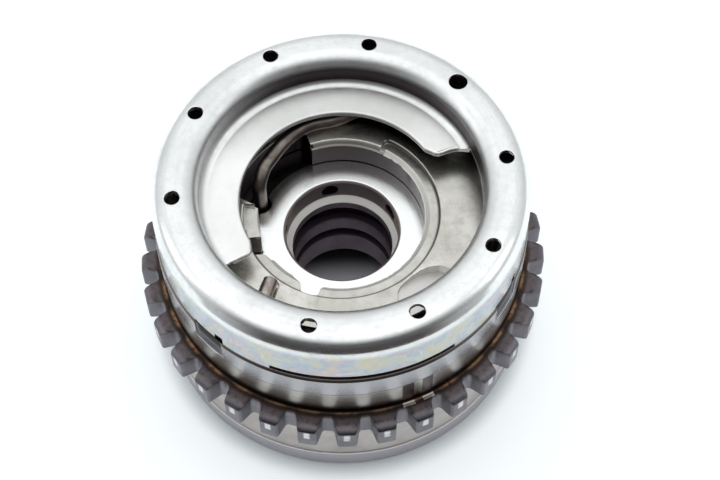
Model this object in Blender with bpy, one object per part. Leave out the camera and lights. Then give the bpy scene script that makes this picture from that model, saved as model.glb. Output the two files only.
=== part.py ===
"""Cam phaser: a chain sprocket housing with a vaned rotor inside it.

A torsion spring under a stamped cap turns the rotor back to its stop. Metres, +Z up along the
camshaft axis. The origin is on that axis, in the rear cover's outer face, on which it stands.
Sizes below are in millimetres and turn into metres where a mesh is made.
"""

import math

import bmesh
import bpy
from mathutils import Matrix, Vector

MM = 0.001
SEAT = 0.25            # gap between two faces that are screwed together
RUN = 0.3              # running or pressed-in gap of round pieces
ROUND = 60             # sides of a full turned surface
THROUGH = 1.0          # how far a cutter passes the face it cuts

# Sprocket housing
PITCH = 9.525          # three-eighths inch inverted-tooth chain
TEETH = 33
TOOTH_DEPTH = 4.2
TOOTH_WIDTH = 7.8      # along the axis, at the root
TOOTH_AT = -90.33      # degrees, the tooth that faces -Y
TIP_PASS = 0.03        # the gap's corner rounds start this far outside the tip circle
GAP_ROOT_HALF = 1.35   # half width of a tooth gap at its round root
GAP_TIP_HALF = 2.55    # half width of a tooth gap at the tip circle
GAP_ROOT_ROUND = 1.15
TIP_ROUND = 1.0        # seen from the front, at both corners of a tip
BEVEL_IN = 2.0         # bevel on the front of the tooth tips, radial
BEVEL_DOWN = 1.3
DRUM_BELOW_ROOT = 0.45  # rear drum under the root of the teeth
DRUM_STEP = 1.1        # front drum under the rear drum
DRUM_FILLET = 0.7      # between the front drum and the sprocket's face
DRUM_WALL = 5.5        # front drum's wall outside the chambers
SPROCKET_Z0 = 20.8     # rear face of the teeth above the origin
HOUSING_H = 30.8

# Vane cell
CELLS = 5
VANE_REACH = 11.5      # chamber wall above the rotor's hub
HUB_WALL = 15.15       # hub between its bore and its outside
WEB_GAP = 0.7          # web tip to hub, bridged by a seal
TIP_GAP = 0.7          # vane tip to chamber, bridged by a seal
WEB_ANGLE = 22.0
THIN_VANE = 14.0
LOCK_VANE = 29.0
LOCK_CELL = 3          # which vane carries the lock pin
STOP_GAP = 0.5         # degrees left at each stop
LOCK_OFF_MIDDLE = 1.0  # degrees from the wide vane's middle to its lock pin
TRAVEL = 20.0          # degrees of cam angle
WEB_AT = 146.8         # degrees, middle of the first web
CHAMBER_ROUND = 1.2
VANE_TIP_ROUND = 1.6
VANE_ROOT_ROUND = 1.1

# Seals
SEAL_W = 2.0
SEAL_H = 2.5           # radial
SEAL_SIDE_GAP = 0.15
SEAL_SPRING_ROOM = 1.1
SEAL_IN_EDGE = 3.3     # degrees from the wide vane's edge to its seal
SEAL_END_GAP = 0.3
LEAF_W = 1.6
LEAF_T = 0.3
LEAF_LENGTH = 26.0

# Covers
REAR_COVER_T = 6.5
REAR_COVER_CHAMFER = 1.0
CAM_LAND = 8.5         # rear cover's opening is this far inside the hub
CAM_OPENING_CHAMFER = 0.8
FRONT_COVER_T = 8.2
COVER_PROUD = 0.3      # covers stand proud of the drum they close
FRONT_CHAMFER = 0.55
RIM_LAND = 1.9         # flat rim under the cap's skirt
SPIGOT_H = 0.9
SEAL_LAND = 7.3        # front cover's opening is this far inside the hub
REBATE_W = 3.3
REBATE_DEPTH = 0.9
REBATE_END_ROUND = 1.1
REBATE_FROM = 61.0     # degrees, clockwise to the spring slot
SLOT_ROOM = 2.9        # spring slot through the cover, past the wire
SLOT_FROM = 110.0
SLOT_TO = 173.0
NOTCHES = ((-159.2, 8.5), (-110.7, 11.0))   # middle and width, degrees
NOTCH_W = 3.5          # notches reach just past the rebate
NOTCH_ROUND = 0.9
SLOT_END_ROUND = 2.0
SLOT_SHOULDER = 5.0    # degrees, the slot's slanted end
POCKET_W = 8.4
POCKET_AZ = (-63.0, -34.0)
POCKET_DEPTH = (0.6, 3.2)
POCKET_END = 2.6       # the pocket's inner edge draws in at both ends

# Fasteners
SCREW_INSET = 3.8      # screw circle inside the chamber wall
SCREW_D = 6.0
SCREW_HOLE_D = 6.6
HEAD_D = 10.0
HEAD_H = 3.5
HEAD_POCKET_D = 10.8
HEAD_POCKET_DEPTH = 4.0
HEX_KEY = 5.0
HEX_DEPTH = 2.0
SCREW_GRIP = 5.7       # length in the front cover
SCREW_POINT = 0.8
HEAD_CHAMFER = 0.4
DOWEL_D = 3.0
DOWEL_LENGTH = 9.0
DOWEL_FIT = 0.3        # hole radius over dowel radius
DOWEL_CHAMFER = 0.4
PORT_D = 4.3
PORT_OFF_VANE = 0.2    # port's edge to the vane's side

# Rotor bore, from the front face down
COUNTERBORE_STEP = 1.45
COUNTERBORE_DEPTH = 6.0
BORE_CHAMFER = 0.6
BORE_CONE = 1.35
GROOVE_DEPTH = 1.65
GROOVES = ((10.0, 15.0), (20.0, 23.0))      # from and to, below the front face
UPPER_PORT_DEPTH = 3.5
CAM_PIN_D = 4.0
CAM_PIN_WALL = 1.25    # material between the pin and the bore
CAM_PIN_SEAT = 4.5     # depth of its hole in the rotor
CAM_PIN_OUT = 3.2      # length that stands out of the rotor

# Return spring
WIRE_D = 3.5
FOOT_INSET = 1.2       # foot outside the edge of the cover's opening
FOOT_AT = 158.0
FOOT_HOLE_D = 5.4
FOOT_HOLE_DEPTH = 8.5
FOOT_DEPTH = 7.0
ARM_OUTSIDE = 3.8      # the arm's circle outside the foot's
TANG_AT = -132.0       # degrees, inner end of the outer tang
TANG_INSIDE = 8.3      # inner end of the tang inside the cap's well wall
TANG_LENGTH = 11.0
TANG_TURN = 24.0       # degrees by which the tang leans from the radius
TANG_SINK = 0.95
COIL_RISE = 4.3
COIL_WALL_GAP = 0.4    # wire to the cap's walls
COIL_REST_GAP = 0.1    # wire to the cover
TANG_RAMP = 4.0        # length over which the tang leaves its slot
TANG_BEND = 17.0       # degrees from the tang's inner end to the outer turn
BEND_PULL = 3.3        # how softly the tang bends into the turn
CLIMB_FROM = 70.0      # degrees where the outer turn starts to climb and narrow
CLIMB_END = 12.0       # degrees before the tang where it ends
DESCENT = 18.0         # degrees past the tang where it comes down
ARM_FROM = 48.0        # degrees where the arm leaves the inner turn
ARM_END = 12.0         # degrees before the foot where the arm bends down
ARM_OUT = 0.6          # the arm's end outside the foot
FOOT_BEND = 3.6
SLOT_SIDE_GAP = 0.3

# Stamped cap
SHEET = 1.2
CAP_H = 15.6
CAP_OUT_ROUND = 4.3
CAP_IN_ROUND = 4.0
CAP_FLAT = 2.6         # flat crown between the two rounds
LEDGE_DEPTH = 8.3
LEDGE_W = 9.5
LEDGE_FROM = 22.0      # degrees, anticlockwise to LEDGE_TO
LEDGE_TO = 213.0
LEDGE_LOBE = 1.4       # the clockwise end's corner outside the ledge's edge
LEDGE_LOBE_TURN = 2.3  # and past LEDGE_TO, degrees
LEDGE_NOSE_TURN = 5.0  # the other end's corner inside LEDGE_FROM, degrees
LEDGE_ROUND = 1.8      # of both corners
LEDGE_FOOT = 0.7       # bend between well wall and ledge
LEDGE_EDGE = 0.05      # the open sector is cut this far inside the well wall
CAP_HOLE_OUT = 5.65    # hole circle outside the well wall
CAP_HOLE_D = 3.6
CAP_HOLE_BIG_D = 4.4
CAP_HOLE_AT = 6.36
CAP_STATIONS = 10
BIG_STATION = 1
BLANK_STATION = 6
RELIEF = 1.5           # the skirt is shorter here
RELIEF_AZ = (-113.0, -56.0)
WINDOW_AZ = ((-141.0, -129.3), (-38.0, -26.0))
WINDOW_H = 0.8
NICK = 2.0             # degrees, deeper end of each window
NICK_H = 1.8
PRY_DEPTH = 0.7

# Lock pin
LOCK_WALL = 0.6        # vane left outside the lock's hole at the tip
SLEEVE_WALL = 1.15
PIN_WALL = 0.8
COLLAR_FIT = 0.5
LOCK_GROOVE_DEPTH = 3.2
SLEEVE_LENGTH = 8.0
PIN_FLOOR = 2.6        # from the pin's nose to the floor of its bore
PIN_NOSE = 0.6
COLLAR_H = 2.2
PLUG_H = 4.5
LOCK_WIRE_D = 0.8
PLUG_NOSE = 2.0        # the plug's nose inside the spring
LOCK_TURNS = 7

# Heights along the axis
HOUSING_Z0 = REAR_COVER_T + SEAT
HOUSING_Z1 = HOUSING_Z0 + HOUSING_H
COVER_Z0 = HOUSING_Z1 + SEAT
COVER_Z1 = COVER_Z0 + FRONT_COVER_T
FLANGE_Z = COVER_Z1 - SPIGOT_H
ROTOR_Z0 = REAR_COVER_T + RUN
ROTOR_Z1 = COVER_Z0 - RUN
RIM_Z = FLANGE_Z + RUN
CAP_Z1 = RIM_Z + CAP_H
LEDGE_Z1 = CAP_Z1 - LEDGE_DEPTH
SPROCKET_Z1 = SPROCKET_Z0 + TOOTH_WIDTH

# Radii and angles that follow from the sizes above
TIP_R = PITCH * (1.0 / math.tan(math.pi / TEETH) + 0.08) / 2.0
ROOT_R = TIP_R - TOOTH_DEPTH
REAR_DRUM_R = ROOT_R - DRUM_BELOW_ROOT
FRONT_DRUM_R = REAR_DRUM_R - DRUM_STEP
CHAMBER_R = FRONT_DRUM_R - DRUM_WALL
HUB_R = CHAMBER_R - VANE_REACH
BORE_R = HUB_R - HUB_WALL
COUNTERBORE_R = BORE_R + COUNTERBORE_STEP
GROOVE_R = BORE_R + GROOVE_DEPTH
CAM_PIN_AT = BORE_R + CAM_PIN_WALL + CAM_PIN_D / 2.0
REAR_COVER_R = REAR_DRUM_R + COVER_PROUD
CAM_OPENING_R = HUB_R - CAM_LAND
FRONT_COVER_R = FRONT_DRUM_R + COVER_PROUD
SPIGOT_R = FRONT_COVER_R - RIM_LAND
OPENING_R = HUB_R - SEAL_LAND
REBATE_R = OPENING_R + REBATE_W
NOTCH_R = OPENING_R + NOTCH_W
SCREW_R = CHAMBER_R - SCREW_INSET
DOWEL_R = CHAMBER_R + DRUM_WALL / 2.0
CAP_R = SPIGOT_R + RUN + SHEET
CAP_WELL_R = CAP_R - CAP_OUT_ROUND - CAP_FLAT - CAP_IN_ROUND
CAP_HOLE_CIRCLE = CAP_WELL_R + CAP_HOLE_OUT
LEDGE_R = CAP_WELL_R - LEDGE_W
FOOT_R = OPENING_R + FOOT_INSET
ARM_R = FOOT_R + ARM_OUTSIDE
TANG_R = CAP_WELL_R - TANG_INSIDE
WEB_TIP_R = HUB_R + WEB_GAP
VANE_TIP_R = CHAMBER_R - TIP_GAP
SEAL_SLOT = SEAL_H + SEAL_SPRING_ROOM
CELL = 360.0 / CELLS
WIRE_R = WIRE_D / 2.0
SLOT_R = FOOT_R + WIRE_R + SLOT_ROOM
POCKET_R = (CAP_WELL_R - 0.1 - POCKET_W, CAP_WELL_R - 0.1)
LOCK_HOLE_D = VANE_TIP_R - HUB_R - LOCK_WALL
LOCK_R = VANE_TIP_R - LOCK_WALL - LOCK_HOLE_D / 2.0
SLEEVE_D = LOCK_HOLE_D - 2.0 * RUN
PIN_D = SLEEVE_D - 2.0 * SLEEVE_WALL - RUN
PIN_COLLAR_D = SLEEVE_D - COLLAR_FIT
PIN_BORE_D = PIN_D - 2.0 * PIN_WALL
LOCK_GROOVE_W = PIN_D + 2.0 * COLLAR_FIT
LOCK_COIL_R = PIN_BORE_D / 2.0 - LOCK_WIRE_D / 2.0 - RUN
COIL_OUT_R = CAP_R - SHEET - WIRE_R - COIL_WALL_GAP
COIL_IN_R = CAP_WELL_R + SHEET + WIRE_R + COIL_WALL_GAP
COIL_Z = COVER_Z1 + WIRE_R + COIL_REST_GAP
VANE_CW = WEB_ANGLE / 2.0 + STOP_GAP + LOCK_VANE


def polar(radius, degrees):
    """A point in the plane, from a radius and an angle in degrees."""
    angle = math.radians(degrees)
    return (radius * math.cos(angle), radius * math.sin(angle))


def arc(radius, start, end, steps, centre=(0.0, 0.0)):
    """Points on an arc from start to end, in degrees."""
    points = []
    for step in range(steps + 1):
        x, y = polar(radius, start + (end - start) * step / steps)
        points.append((centre[0] + x, centre[1] + y))
    return points


def rounded(corners, steps=3):
    """An outline whose corners (x, y, radius) are replaced by arcs."""
    outline = []
    count = len(corners)
    for i, (x, y, radius) in enumerate(corners):
        here = Vector((x, y))
        if radius <= 0.0:
            outline.append((x, y))
            continue
        back = (Vector(corners[i - 1][:2]) - here).normalized()
        ahead = (Vector(corners[(i + 1) % count][:2]) - here).normalized()
        half = back.angle(ahead) / 2.0
        reach = radius / math.tan(half)
        centre = here + (back + ahead).normalized() * radius / math.sin(half)
        first = here + back * reach - centre
        turn = (here + ahead * reach - centre).angle_signed(first)
        for step in range(steps + 1):
            spot = centre + Matrix.Rotation(turn * step / steps, 2) @ first
            outline.append((spot.x, spot.y))
    return outline


def material(name, colour, roughness, metallic):
    """One Principled material for each kind of surface."""
    made = bpy.data.materials.get(name)
    if made is None:
        made = bpy.data.materials.new(name)
        made.use_nodes = True
        shader = made.node_tree.nodes["Principled BSDF"]
        shader.inputs["Base Color"].default_value = (*colour, 1.0)
        shader.inputs["Roughness"].default_value = roughness
        shader.inputs["Metallic"].default_value = metallic
    return made


def finish(name, bm, look, smooth_angle=32.0):
    """Write a bmesh to a new named object with its material and shading."""
    bmesh.ops.remove_doubles(bm, verts=bm.verts, dist=1e-7)
    bmesh.ops.recalc_face_normals(bm, faces=bm.faces)
    mesh = bpy.data.meshes.new(name)
    bm.to_mesh(mesh)
    bm.free()
    mesh.shade_smooth()
    mesh.set_sharp_from_angle(angle=math.radians(smooth_angle))
    made = bpy.data.objects.new(name, mesh)
    bpy.context.scene.collection.objects.link(made)
    if look is not None:
        mesh.materials.append(look)
    return made


def add_prism(bm, outline, z0, z1):
    """Extrude a closed outline from z0 to z1."""
    verts = [bm.verts.new((x * MM, y * MM, z0 * MM)) for x, y in outline]
    face = bm.faces.new(verts)
    grown = bmesh.ops.extrude_face_region(bm, geom=[face])["geom"]
    moved = [part for part in grown if isinstance(part, bmesh.types.BMVert)]
    bmesh.ops.translate(bm, verts=moved, vec=(0.0, 0.0, (z1 - z0) * MM))


def prism(name, outlines, z0, z1, look=None):
    """One object from one or more outlines extruded between two heights."""
    bm = bmesh.new()
    for outline in outlines:
        add_prism(bm, outline, z0, z1)
    return finish(name, bm, look)


def add_turned(bm, profile, steps=ROUND, centre=(0.0, 0.0)):
    """Spin a closed (radius, z) profile once round an axis along Z."""
    axis_at = Vector((centre[0] * MM, centre[1] * MM, 0.0))
    verts = [bm.verts.new(axis_at + Vector((r * MM, 0.0, z * MM))) for r, z in profile]
    edges = []
    for i, (r, _z) in enumerate(profile):
        if r > 0.0 or profile[i - 1][0] > 0.0:
            edges.append(bm.edges.new((verts[i - 1], verts[i])))
    bmesh.ops.spin(bm, geom=verts + edges, cent=axis_at, axis=(0.0, 0.0, 1.0),
                   angle=math.tau, steps=steps, use_merge=True, use_duplicate=False)


def turned(name, profile, look=None, steps=ROUND, centre=(0.0, 0.0)):
    bm = bmesh.new()
    add_turned(bm, profile, steps, centre)
    bmesh.ops.remove_doubles(bm, verts=bm.verts, dist=1e-7)
    return finish(name, bm, look)


def rod(radius, z0, z1, centre, steps=16):
    """Outline-style cylinder as data for prism()."""
    return (arc(radius, 0.0, 360.0, steps, centre)[:-1], z0, z1)


def rods(name, items, look=None):
    """One object from several (outline, z0, z1) prisms that don't meet."""
    bm = bmesh.new()
    for outline, z0, z1 in items:
        add_prism(bm, outline, z0, z1)
    return finish(name, bm, look)


def subtract(body, cutter):
    """Cut one object with another, which stays as a hidden guide."""
    cutter.hide_render = True
    cutter.display_type = "WIRE"
    step = body.modifiers.new(cutter.name, "BOOLEAN")
    step.operation = "DIFFERENCE"
    step.solver = "EXACT"
    step.object = cutter


def sector(r0, r1, start, end, steps=8):
    """Outline of a ring sector."""
    return arc(r0, start, end, steps) + arc(r1, end, start, steps)


def wire_curve(name, points, radius, look, sides=2):
    """A round wire along a list of points, with closed ends."""
    curve = bpy.data.curves.new(name, "CURVE")
    curve.dimensions = "3D"
    curve.bevel_depth = radius * MM
    curve.bevel_resolution = sides
    curve.use_fill_caps = True
    spline = curve.splines.new("POLY")
    spline.points.add(len(points) - 1)
    for spot, (x, y, z) in zip(spline.points, points):
        spot.co = (x * MM, y * MM, z * MM, 1.0)
    curve.materials.append(look)
    made = bpy.data.objects.new(name, curve)
    bpy.context.scene.collection.objects.link(made)
    return made


def web_middle(cell):
    return WEB_AT + CELL * cell


def vane_edges(cell):
    """Clockwise and anticlockwise side of the vane in a cell, in degrees."""
    clockwise = web_middle(cell) - VANE_CW
    width = LOCK_VANE if cell == LOCK_CELL else THIN_VANE
    return clockwise, clockwise + width


def tooth_gap(middle):
    """Outline of one gap between two teeth, from its round root out past the tips."""
    half = [
        (GAP_ROOT_HALF, ROOT_R, GAP_ROOT_ROUND),
        (GAP_TIP_HALF, TIP_R + TIP_PASS, TIP_ROUND),
        (GAP_TIP_HALF + 2.0 * TIP_ROUND, TIP_R + TIP_PASS, 0.0),
        (GAP_TIP_HALF + 2.0 * TIP_ROUND, TIP_R + THROUGH, 0.0),
    ]
    corners = []
    for across, radius, bend in half[::-1] + [(-across, radius, bend) for across, radius, bend in half]:
        x, y = polar(radius, middle)
        nx, ny = polar(across, middle + 90.0)
        corners.append((x + nx, y + ny, bend))
    return rounded(corners)


def sprocket_housing(look):
    """Turned blank, cut into 33 teeth, five chambers, seal slots and screw holes."""
    blank = [
        (WEB_TIP_R, HOUSING_Z0),
        (REAR_DRUM_R, HOUSING_Z0),
        (REAR_DRUM_R, SPROCKET_Z0),
        (TIP_R, SPROCKET_Z0),
        (TIP_R, SPROCKET_Z1 - BEVEL_DOWN),
        (TIP_R - BEVEL_IN, SPROCKET_Z1),
        (FRONT_DRUM_R + DRUM_FILLET, SPROCKET_Z1),
        (FRONT_DRUM_R + DRUM_FILLET * 0.3, SPROCKET_Z1 + DRUM_FILLET * 0.3),
        (FRONT_DRUM_R, SPROCKET_Z1 + DRUM_FILLET),
        (FRONT_DRUM_R, HOUSING_Z1),
        (WEB_TIP_R, HOUSING_Z1),
    ]
    body = turned("sprocket_housing", blank, look, steps=TEETH * 2)
    step = 360.0 / TEETH
    gaps = [tooth_gap(TOOTH_AT + step * (i + 0.5)) for i in range(TEETH)]
    subtract(body, prism("cut_tooth_gaps", gaps, SPROCKET_Z0 - THROUGH, SPROCKET_Z1 + THROUGH))

    chambers = []
    for cell in range(CELLS):
        start = web_middle(cell) + WEB_ANGLE / 2.0
        end = start + CELL - WEB_ANGLE
        corner = math.degrees(CHAMBER_ROUND / CHAMBER_R)
        inner = WEB_TIP_R - THROUGH
        cut = CHAMBER_ROUND * 0.2
        outer = [polar(CHAMBER_R - CHAMBER_ROUND, start), polar(CHAMBER_R - cut, start + corner * 0.3)]
        outer += arc(CHAMBER_R, start + corner, end - corner, 10)
        outer += [polar(CHAMBER_R - cut, end - corner * 0.3), polar(CHAMBER_R - CHAMBER_ROUND, end)]
        chambers.append([polar(inner, start)] + outer + arc(inner, end, start, 6)[:-1])
    subtract(body, prism("cut_chambers", chambers, HOUSING_Z0 - THROUGH, HOUSING_Z1 + THROUGH))

    slots = []
    half = SEAL_W / 2.0 + SEAL_SIDE_GAP
    for cell in range(CELLS):
        slots.append(strip(web_middle(cell), WEB_TIP_R - THROUGH, HUB_R + RUN + SEAL_SLOT, half))
    subtract(body, prism("cut_web_seal_slots", slots, HOUSING_Z0 - THROUGH, HOUSING_Z1 + THROUGH))

    low, high = HOUSING_Z0 - THROUGH, HOUSING_Z1 + THROUGH
    holes = [rod(SCREW_HOLE_D / 2.0, low, high, polar(SCREW_R, web_middle(c)), 12) for c in range(CELLS)]
    holes.append(rod(DOWEL_D / 2.0 + DOWEL_FIT, HOUSING_Z1 - DOWEL_LENGTH / 2.0 - 0.3, HOUSING_Z1 + THROUGH,
                     polar(DOWEL_R, web_middle(0)), 12))
    subtract(body, rods("cut_housing_holes", holes))
    return body


def strip(middle, r0, r1, half):
    """A straight-sided strip along a radius, as an outline."""
    nx, ny = polar(half, middle + 90.0)
    x0, y0 = polar(r0, middle)
    x1, y1 = polar(r1, middle)
    return [(x0 - nx, y0 - ny), (x1 - nx, y1 - ny), (x1 + nx, y1 + ny), (x0 + nx, y0 + ny)]


def seals(steel, plastic):
    """Seal strips and their leaf springs, in the web tips and in the vane tips."""
    length = HOUSING_H - 2.0 * SEAL_END_GAP
    z0 = HOUSING_Z0 + SEAL_END_GAP
    for cell in range(CELLS):
        web = web_middle(cell)
        inner = HUB_R + RUN
        prism(f"web_seal_{cell + 1}", [strip(web, inner, inner + SEAL_H, SEAL_W / 2.0)], z0, z0 + length,
              plastic)
        leaf_spring(f"web_seal_spring_{cell + 1}", web, inner + SEAL_H, 1.0, steel)
        middle = seal_middle(cell)
        outer = CHAMBER_R - RUN
        prism(f"vane_seal_{cell + 1}", [strip(middle, outer - SEAL_H, outer, SEAL_W / 2.0)], z0, z0 + length,
              plastic)
        leaf_spring(f"vane_seal_spring_{cell + 1}", middle, outer - SEAL_H, -1.0, steel)


def seal_middle(cell):
    """Angle of a vane's tip seal: in the middle, or beside the lock pin's hole."""
    start, end = vane_edges(cell)
    if cell == LOCK_CELL:
        return end - SEAL_IN_EDGE
    return (start + end) / 2.0


def leaf_spring(name, middle, start, way, look):
    """A bowed strip: its middle presses on the seal, its ends on the slot's floor."""
    steps = 6
    room = SEAL_SPRING_ROOM - LEAF_T - 2.0 * SEAL_SIDE_GAP
    half = LEAF_W / 2.0
    bm = bmesh.new()
    rings = []
    for step in range(steps + 1):
        share = step / steps
        z = (HOUSING_Z0 + HOUSING_Z1) / 2.0 + (share - 0.5) * LEAF_LENGTH
        near = start + way * (SEAL_SIDE_GAP + room * (1.0 - math.sin(math.pi * share)))
        far = near + way * LEAF_T
        ring = []
        for radius, side in ((near, -half), (near, half), (far, half), (far, -half)):
            x, y = polar(radius, middle)
            nx, ny = polar(side, middle + 90.0)
            ring.append(bm.verts.new(((x + nx) * MM, (y + ny) * MM, z * MM)))
        rings.append(ring)
    for low, high in zip(rings, rings[1:]):
        for i in range(4):
            j = (i + 1) % 4
            bm.faces.new((low[i], low[j], high[j], high[i]))
    bm.faces.new(rings[0])
    bm.faces.new(rings[-1])
    return finish(name, bm, look)


def front_cover(look):
    """Sintered disc with a ground rim, a stepped opening, the spring slot and two notches."""
    ring = [
        (OPENING_R, COVER_Z0),
        (FRONT_COVER_R, COVER_Z0),
        (FRONT_COVER_R, FLANGE_Z - FRONT_CHAMFER),
        (FRONT_COVER_R - FRONT_CHAMFER, FLANGE_Z),
        (SPIGOT_R, FLANGE_Z),
        (SPIGOT_R, COVER_Z1),
        (OPENING_R, COVER_Z1),
    ]
    body = turned("front_cover", ring, look)
    below, above = COVER_Z0 - THROUGH, COVER_Z1 + THROUGH

    rebate = arc(OPENING_R - THROUGH, SLOT_TO - 360.0, REBATE_FROM, 24)
    bend = math.degrees(REBATE_END_ROUND / REBATE_R)
    rebate += [polar(REBATE_R - REBATE_END_ROUND, REBATE_FROM),
               polar(REBATE_R - REBATE_END_ROUND * 0.3, REBATE_FROM - bend * 0.3)]
    rebate += arc(REBATE_R, REBATE_FROM - bend, SLOT_TO - 360.0, 28)
    subtract(body, prism("cut_rebate", [rebate], COVER_Z1 - REBATE_DEPTH, above))

    slot = [(*polar(OPENING_R - THROUGH, SLOT_FROM), 0.0),
            (*polar(OPENING_R - THROUGH, SLOT_TO + SLOT_SHOULDER - THROUGH), 0.0),
            (*polar(SLOT_R, SLOT_TO - SLOT_SHOULDER), SLOT_END_ROUND)]
    bend = math.degrees(2.0 * SLOT_END_ROUND / SLOT_R)
    outer = [(*spot, 0.0) for spot in arc(SLOT_R, SLOT_TO - SLOT_SHOULDER - bend, SLOT_FROM + bend, 8)]
    slot += outer + [(*polar(SLOT_R, SLOT_FROM), SLOT_END_ROUND)]
    subtract(body, prism("cut_spring_slot", [rounded(slot)], below, above))

    notches = []
    for middle, width in NOTCHES:
        start, end = middle - width / 2.0, middle + width / 2.0
        inner = OPENING_R - THROUGH
        notches.append(rounded([(*polar(inner, start), 0.0), (*polar(NOTCH_R, start), NOTCH_ROUND),
                                (*polar(NOTCH_R, end), NOTCH_ROUND), (*polar(inner, end), 0.0)]))
    subtract(body, prism("cut_notches", notches, below, above))

    subtract(body, kidney_cutter())
    subtract(body, tang_slot_cutter())

    holes = [rod(SCREW_HOLE_D / 2.0, below, COVER_Z0 + SCREW_GRIP + 0.5, polar(SCREW_R, web_middle(c)), 12)
             for c in range(CELLS)]
    holes.append(rod(DOWEL_D / 2.0 + DOWEL_FIT, below, COVER_Z0 + DOWEL_LENGTH / 2.0 + 0.3,
                     polar(DOWEL_R, web_middle(0)), 12))
    subtract(body, rods("cut_cover_holes", holes))

    pry = []
    for start, end in WINDOW_AZ:
        middle, half = (start + end) / 2.0, (end - start) / 2.0
        flat = FRONT_COVER_R - PRY_DEPTH
        width = FRONT_COVER_R * math.sin(math.radians(half)) * 0.96
        pry.append(strip(middle, flat, flat + 4.0, width))
    subtract(body, prism("cut_pry_flats", pry, COVER_Z0 + 1.6, above))
    return body


def kidney_cutter():
    """Curved pocket whose floor slopes down towards its anticlockwise end."""
    bm = bmesh.new()
    steps = 10
    start, end = POCKET_AZ
    inner, outer = POCKET_R
    rows = []
    for step in range(steps + 1):
        share = step / steps
        draw_in = POCKET_END * abs(2.0 * share - 1.0) ** 4
        floor = COVER_Z1 - POCKET_DEPTH[0] - (POCKET_DEPTH[1] - POCKET_DEPTH[0]) * share
        low = inner + draw_in
        angle = start + (end - start) * share
        row = []
        for radius, z in ((low, floor), (outer, floor), (outer, COVER_Z1 + THROUGH), (low, COVER_Z1 + THROUGH)):
            x, y = polar(radius, angle)
            row.append(bm.verts.new((x * MM, y * MM, z * MM)))
        rows.append(row)
    for a, b in zip(rows, rows[1:]):
        for i in range(4):
            j = (i + 1) % 4
            bm.faces.new((a[i], a[j], b[j], b[i]))
    bm.faces.new(rows[0])
    bm.faces.new(rows[-1])
    return finish("cut_kidney_pocket", bm, None)


def tang_line():
    """Inner end of the spring's outer tang and the way it points outwards."""
    start = Vector(polar(TANG_R, TANG_AT))
    way = Vector(polar(1.0, TANG_AT + TANG_TURN))
    return start, way


def tang_slot_cutter():
    """Straight slot that holds the spring's outer tang."""
    start, way = tang_line()
    side = Vector((-way.y, way.x)) * (WIRE_R + SLOT_SIDE_GAP)
    back = start - way * 0.5
    front = start + way * (TANG_LENGTH + 0.5)
    corners = [(*(back - side), 1.0), (*(front - side), 0.0), (*(front + side), 0.0), (*(back + side), 1.0)]
    depth = TANG_SINK + 0.15
    return prism("cut_tang_slot", [rounded(corners)], COVER_Z1 - depth, COVER_Z1 + THROUGH)


def rear_cover(look):
    """Rear disc with the camshaft opening, head pockets and the lock groove."""
    ring = [
        (CAM_OPENING_R + CAM_OPENING_CHAMFER, 0.0),
        (REAR_COVER_R - REAR_COVER_CHAMFER, 0.0),
        (REAR_COVER_R, REAR_COVER_CHAMFER),
        (REAR_COVER_R, REAR_COVER_T),
        (CAM_OPENING_R, REAR_COVER_T),
        (CAM_OPENING_R, CAM_OPENING_CHAMFER),
    ]
    body = turned("rear_cover", ring, look)
    spots = [polar(SCREW_R, web_middle(c)) for c in range(CELLS)]
    heads = [rod(HEAD_POCKET_D / 2.0, -1.0, HEAD_POCKET_DEPTH, spot, 16) for spot in spots]
    subtract(body, rods("cut_head_pockets", heads))
    low, high = HEAD_POCKET_DEPTH - THROUGH, REAR_COVER_T + THROUGH
    holes = [rod(SCREW_HOLE_D / 2.0, low, high, spot, 12) for spot in spots]
    subtract(body, rods("cut_rear_screw_holes", holes))
    middle = lock_middle()
    half = LOCK_GROOVE_W / 2.0
    far = middle - TRAVEL
    groove = arc(LOCK_R + half, far, middle, 6)
    groove += arc(half, middle, middle + 180.0, 6, polar(LOCK_R, middle))[1:-1]
    groove += arc(LOCK_R - half, middle, far, 6)
    groove += arc(half, far + 180.0, far + 360.0, 6, polar(LOCK_R, far))[1:-1]
    subtract(body, prism("cut_lock_groove", [groove], REAR_COVER_T - LOCK_GROOVE_DEPTH, REAR_COVER_T + THROUGH))
    return body


def lock_middle():
    """Angle of the lock pin: the middle of the wide vane, off its seal."""
    start, end = vane_edges(LOCK_CELL)
    return (start + end) / 2.0 - LOCK_OFF_MIDDLE


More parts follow.
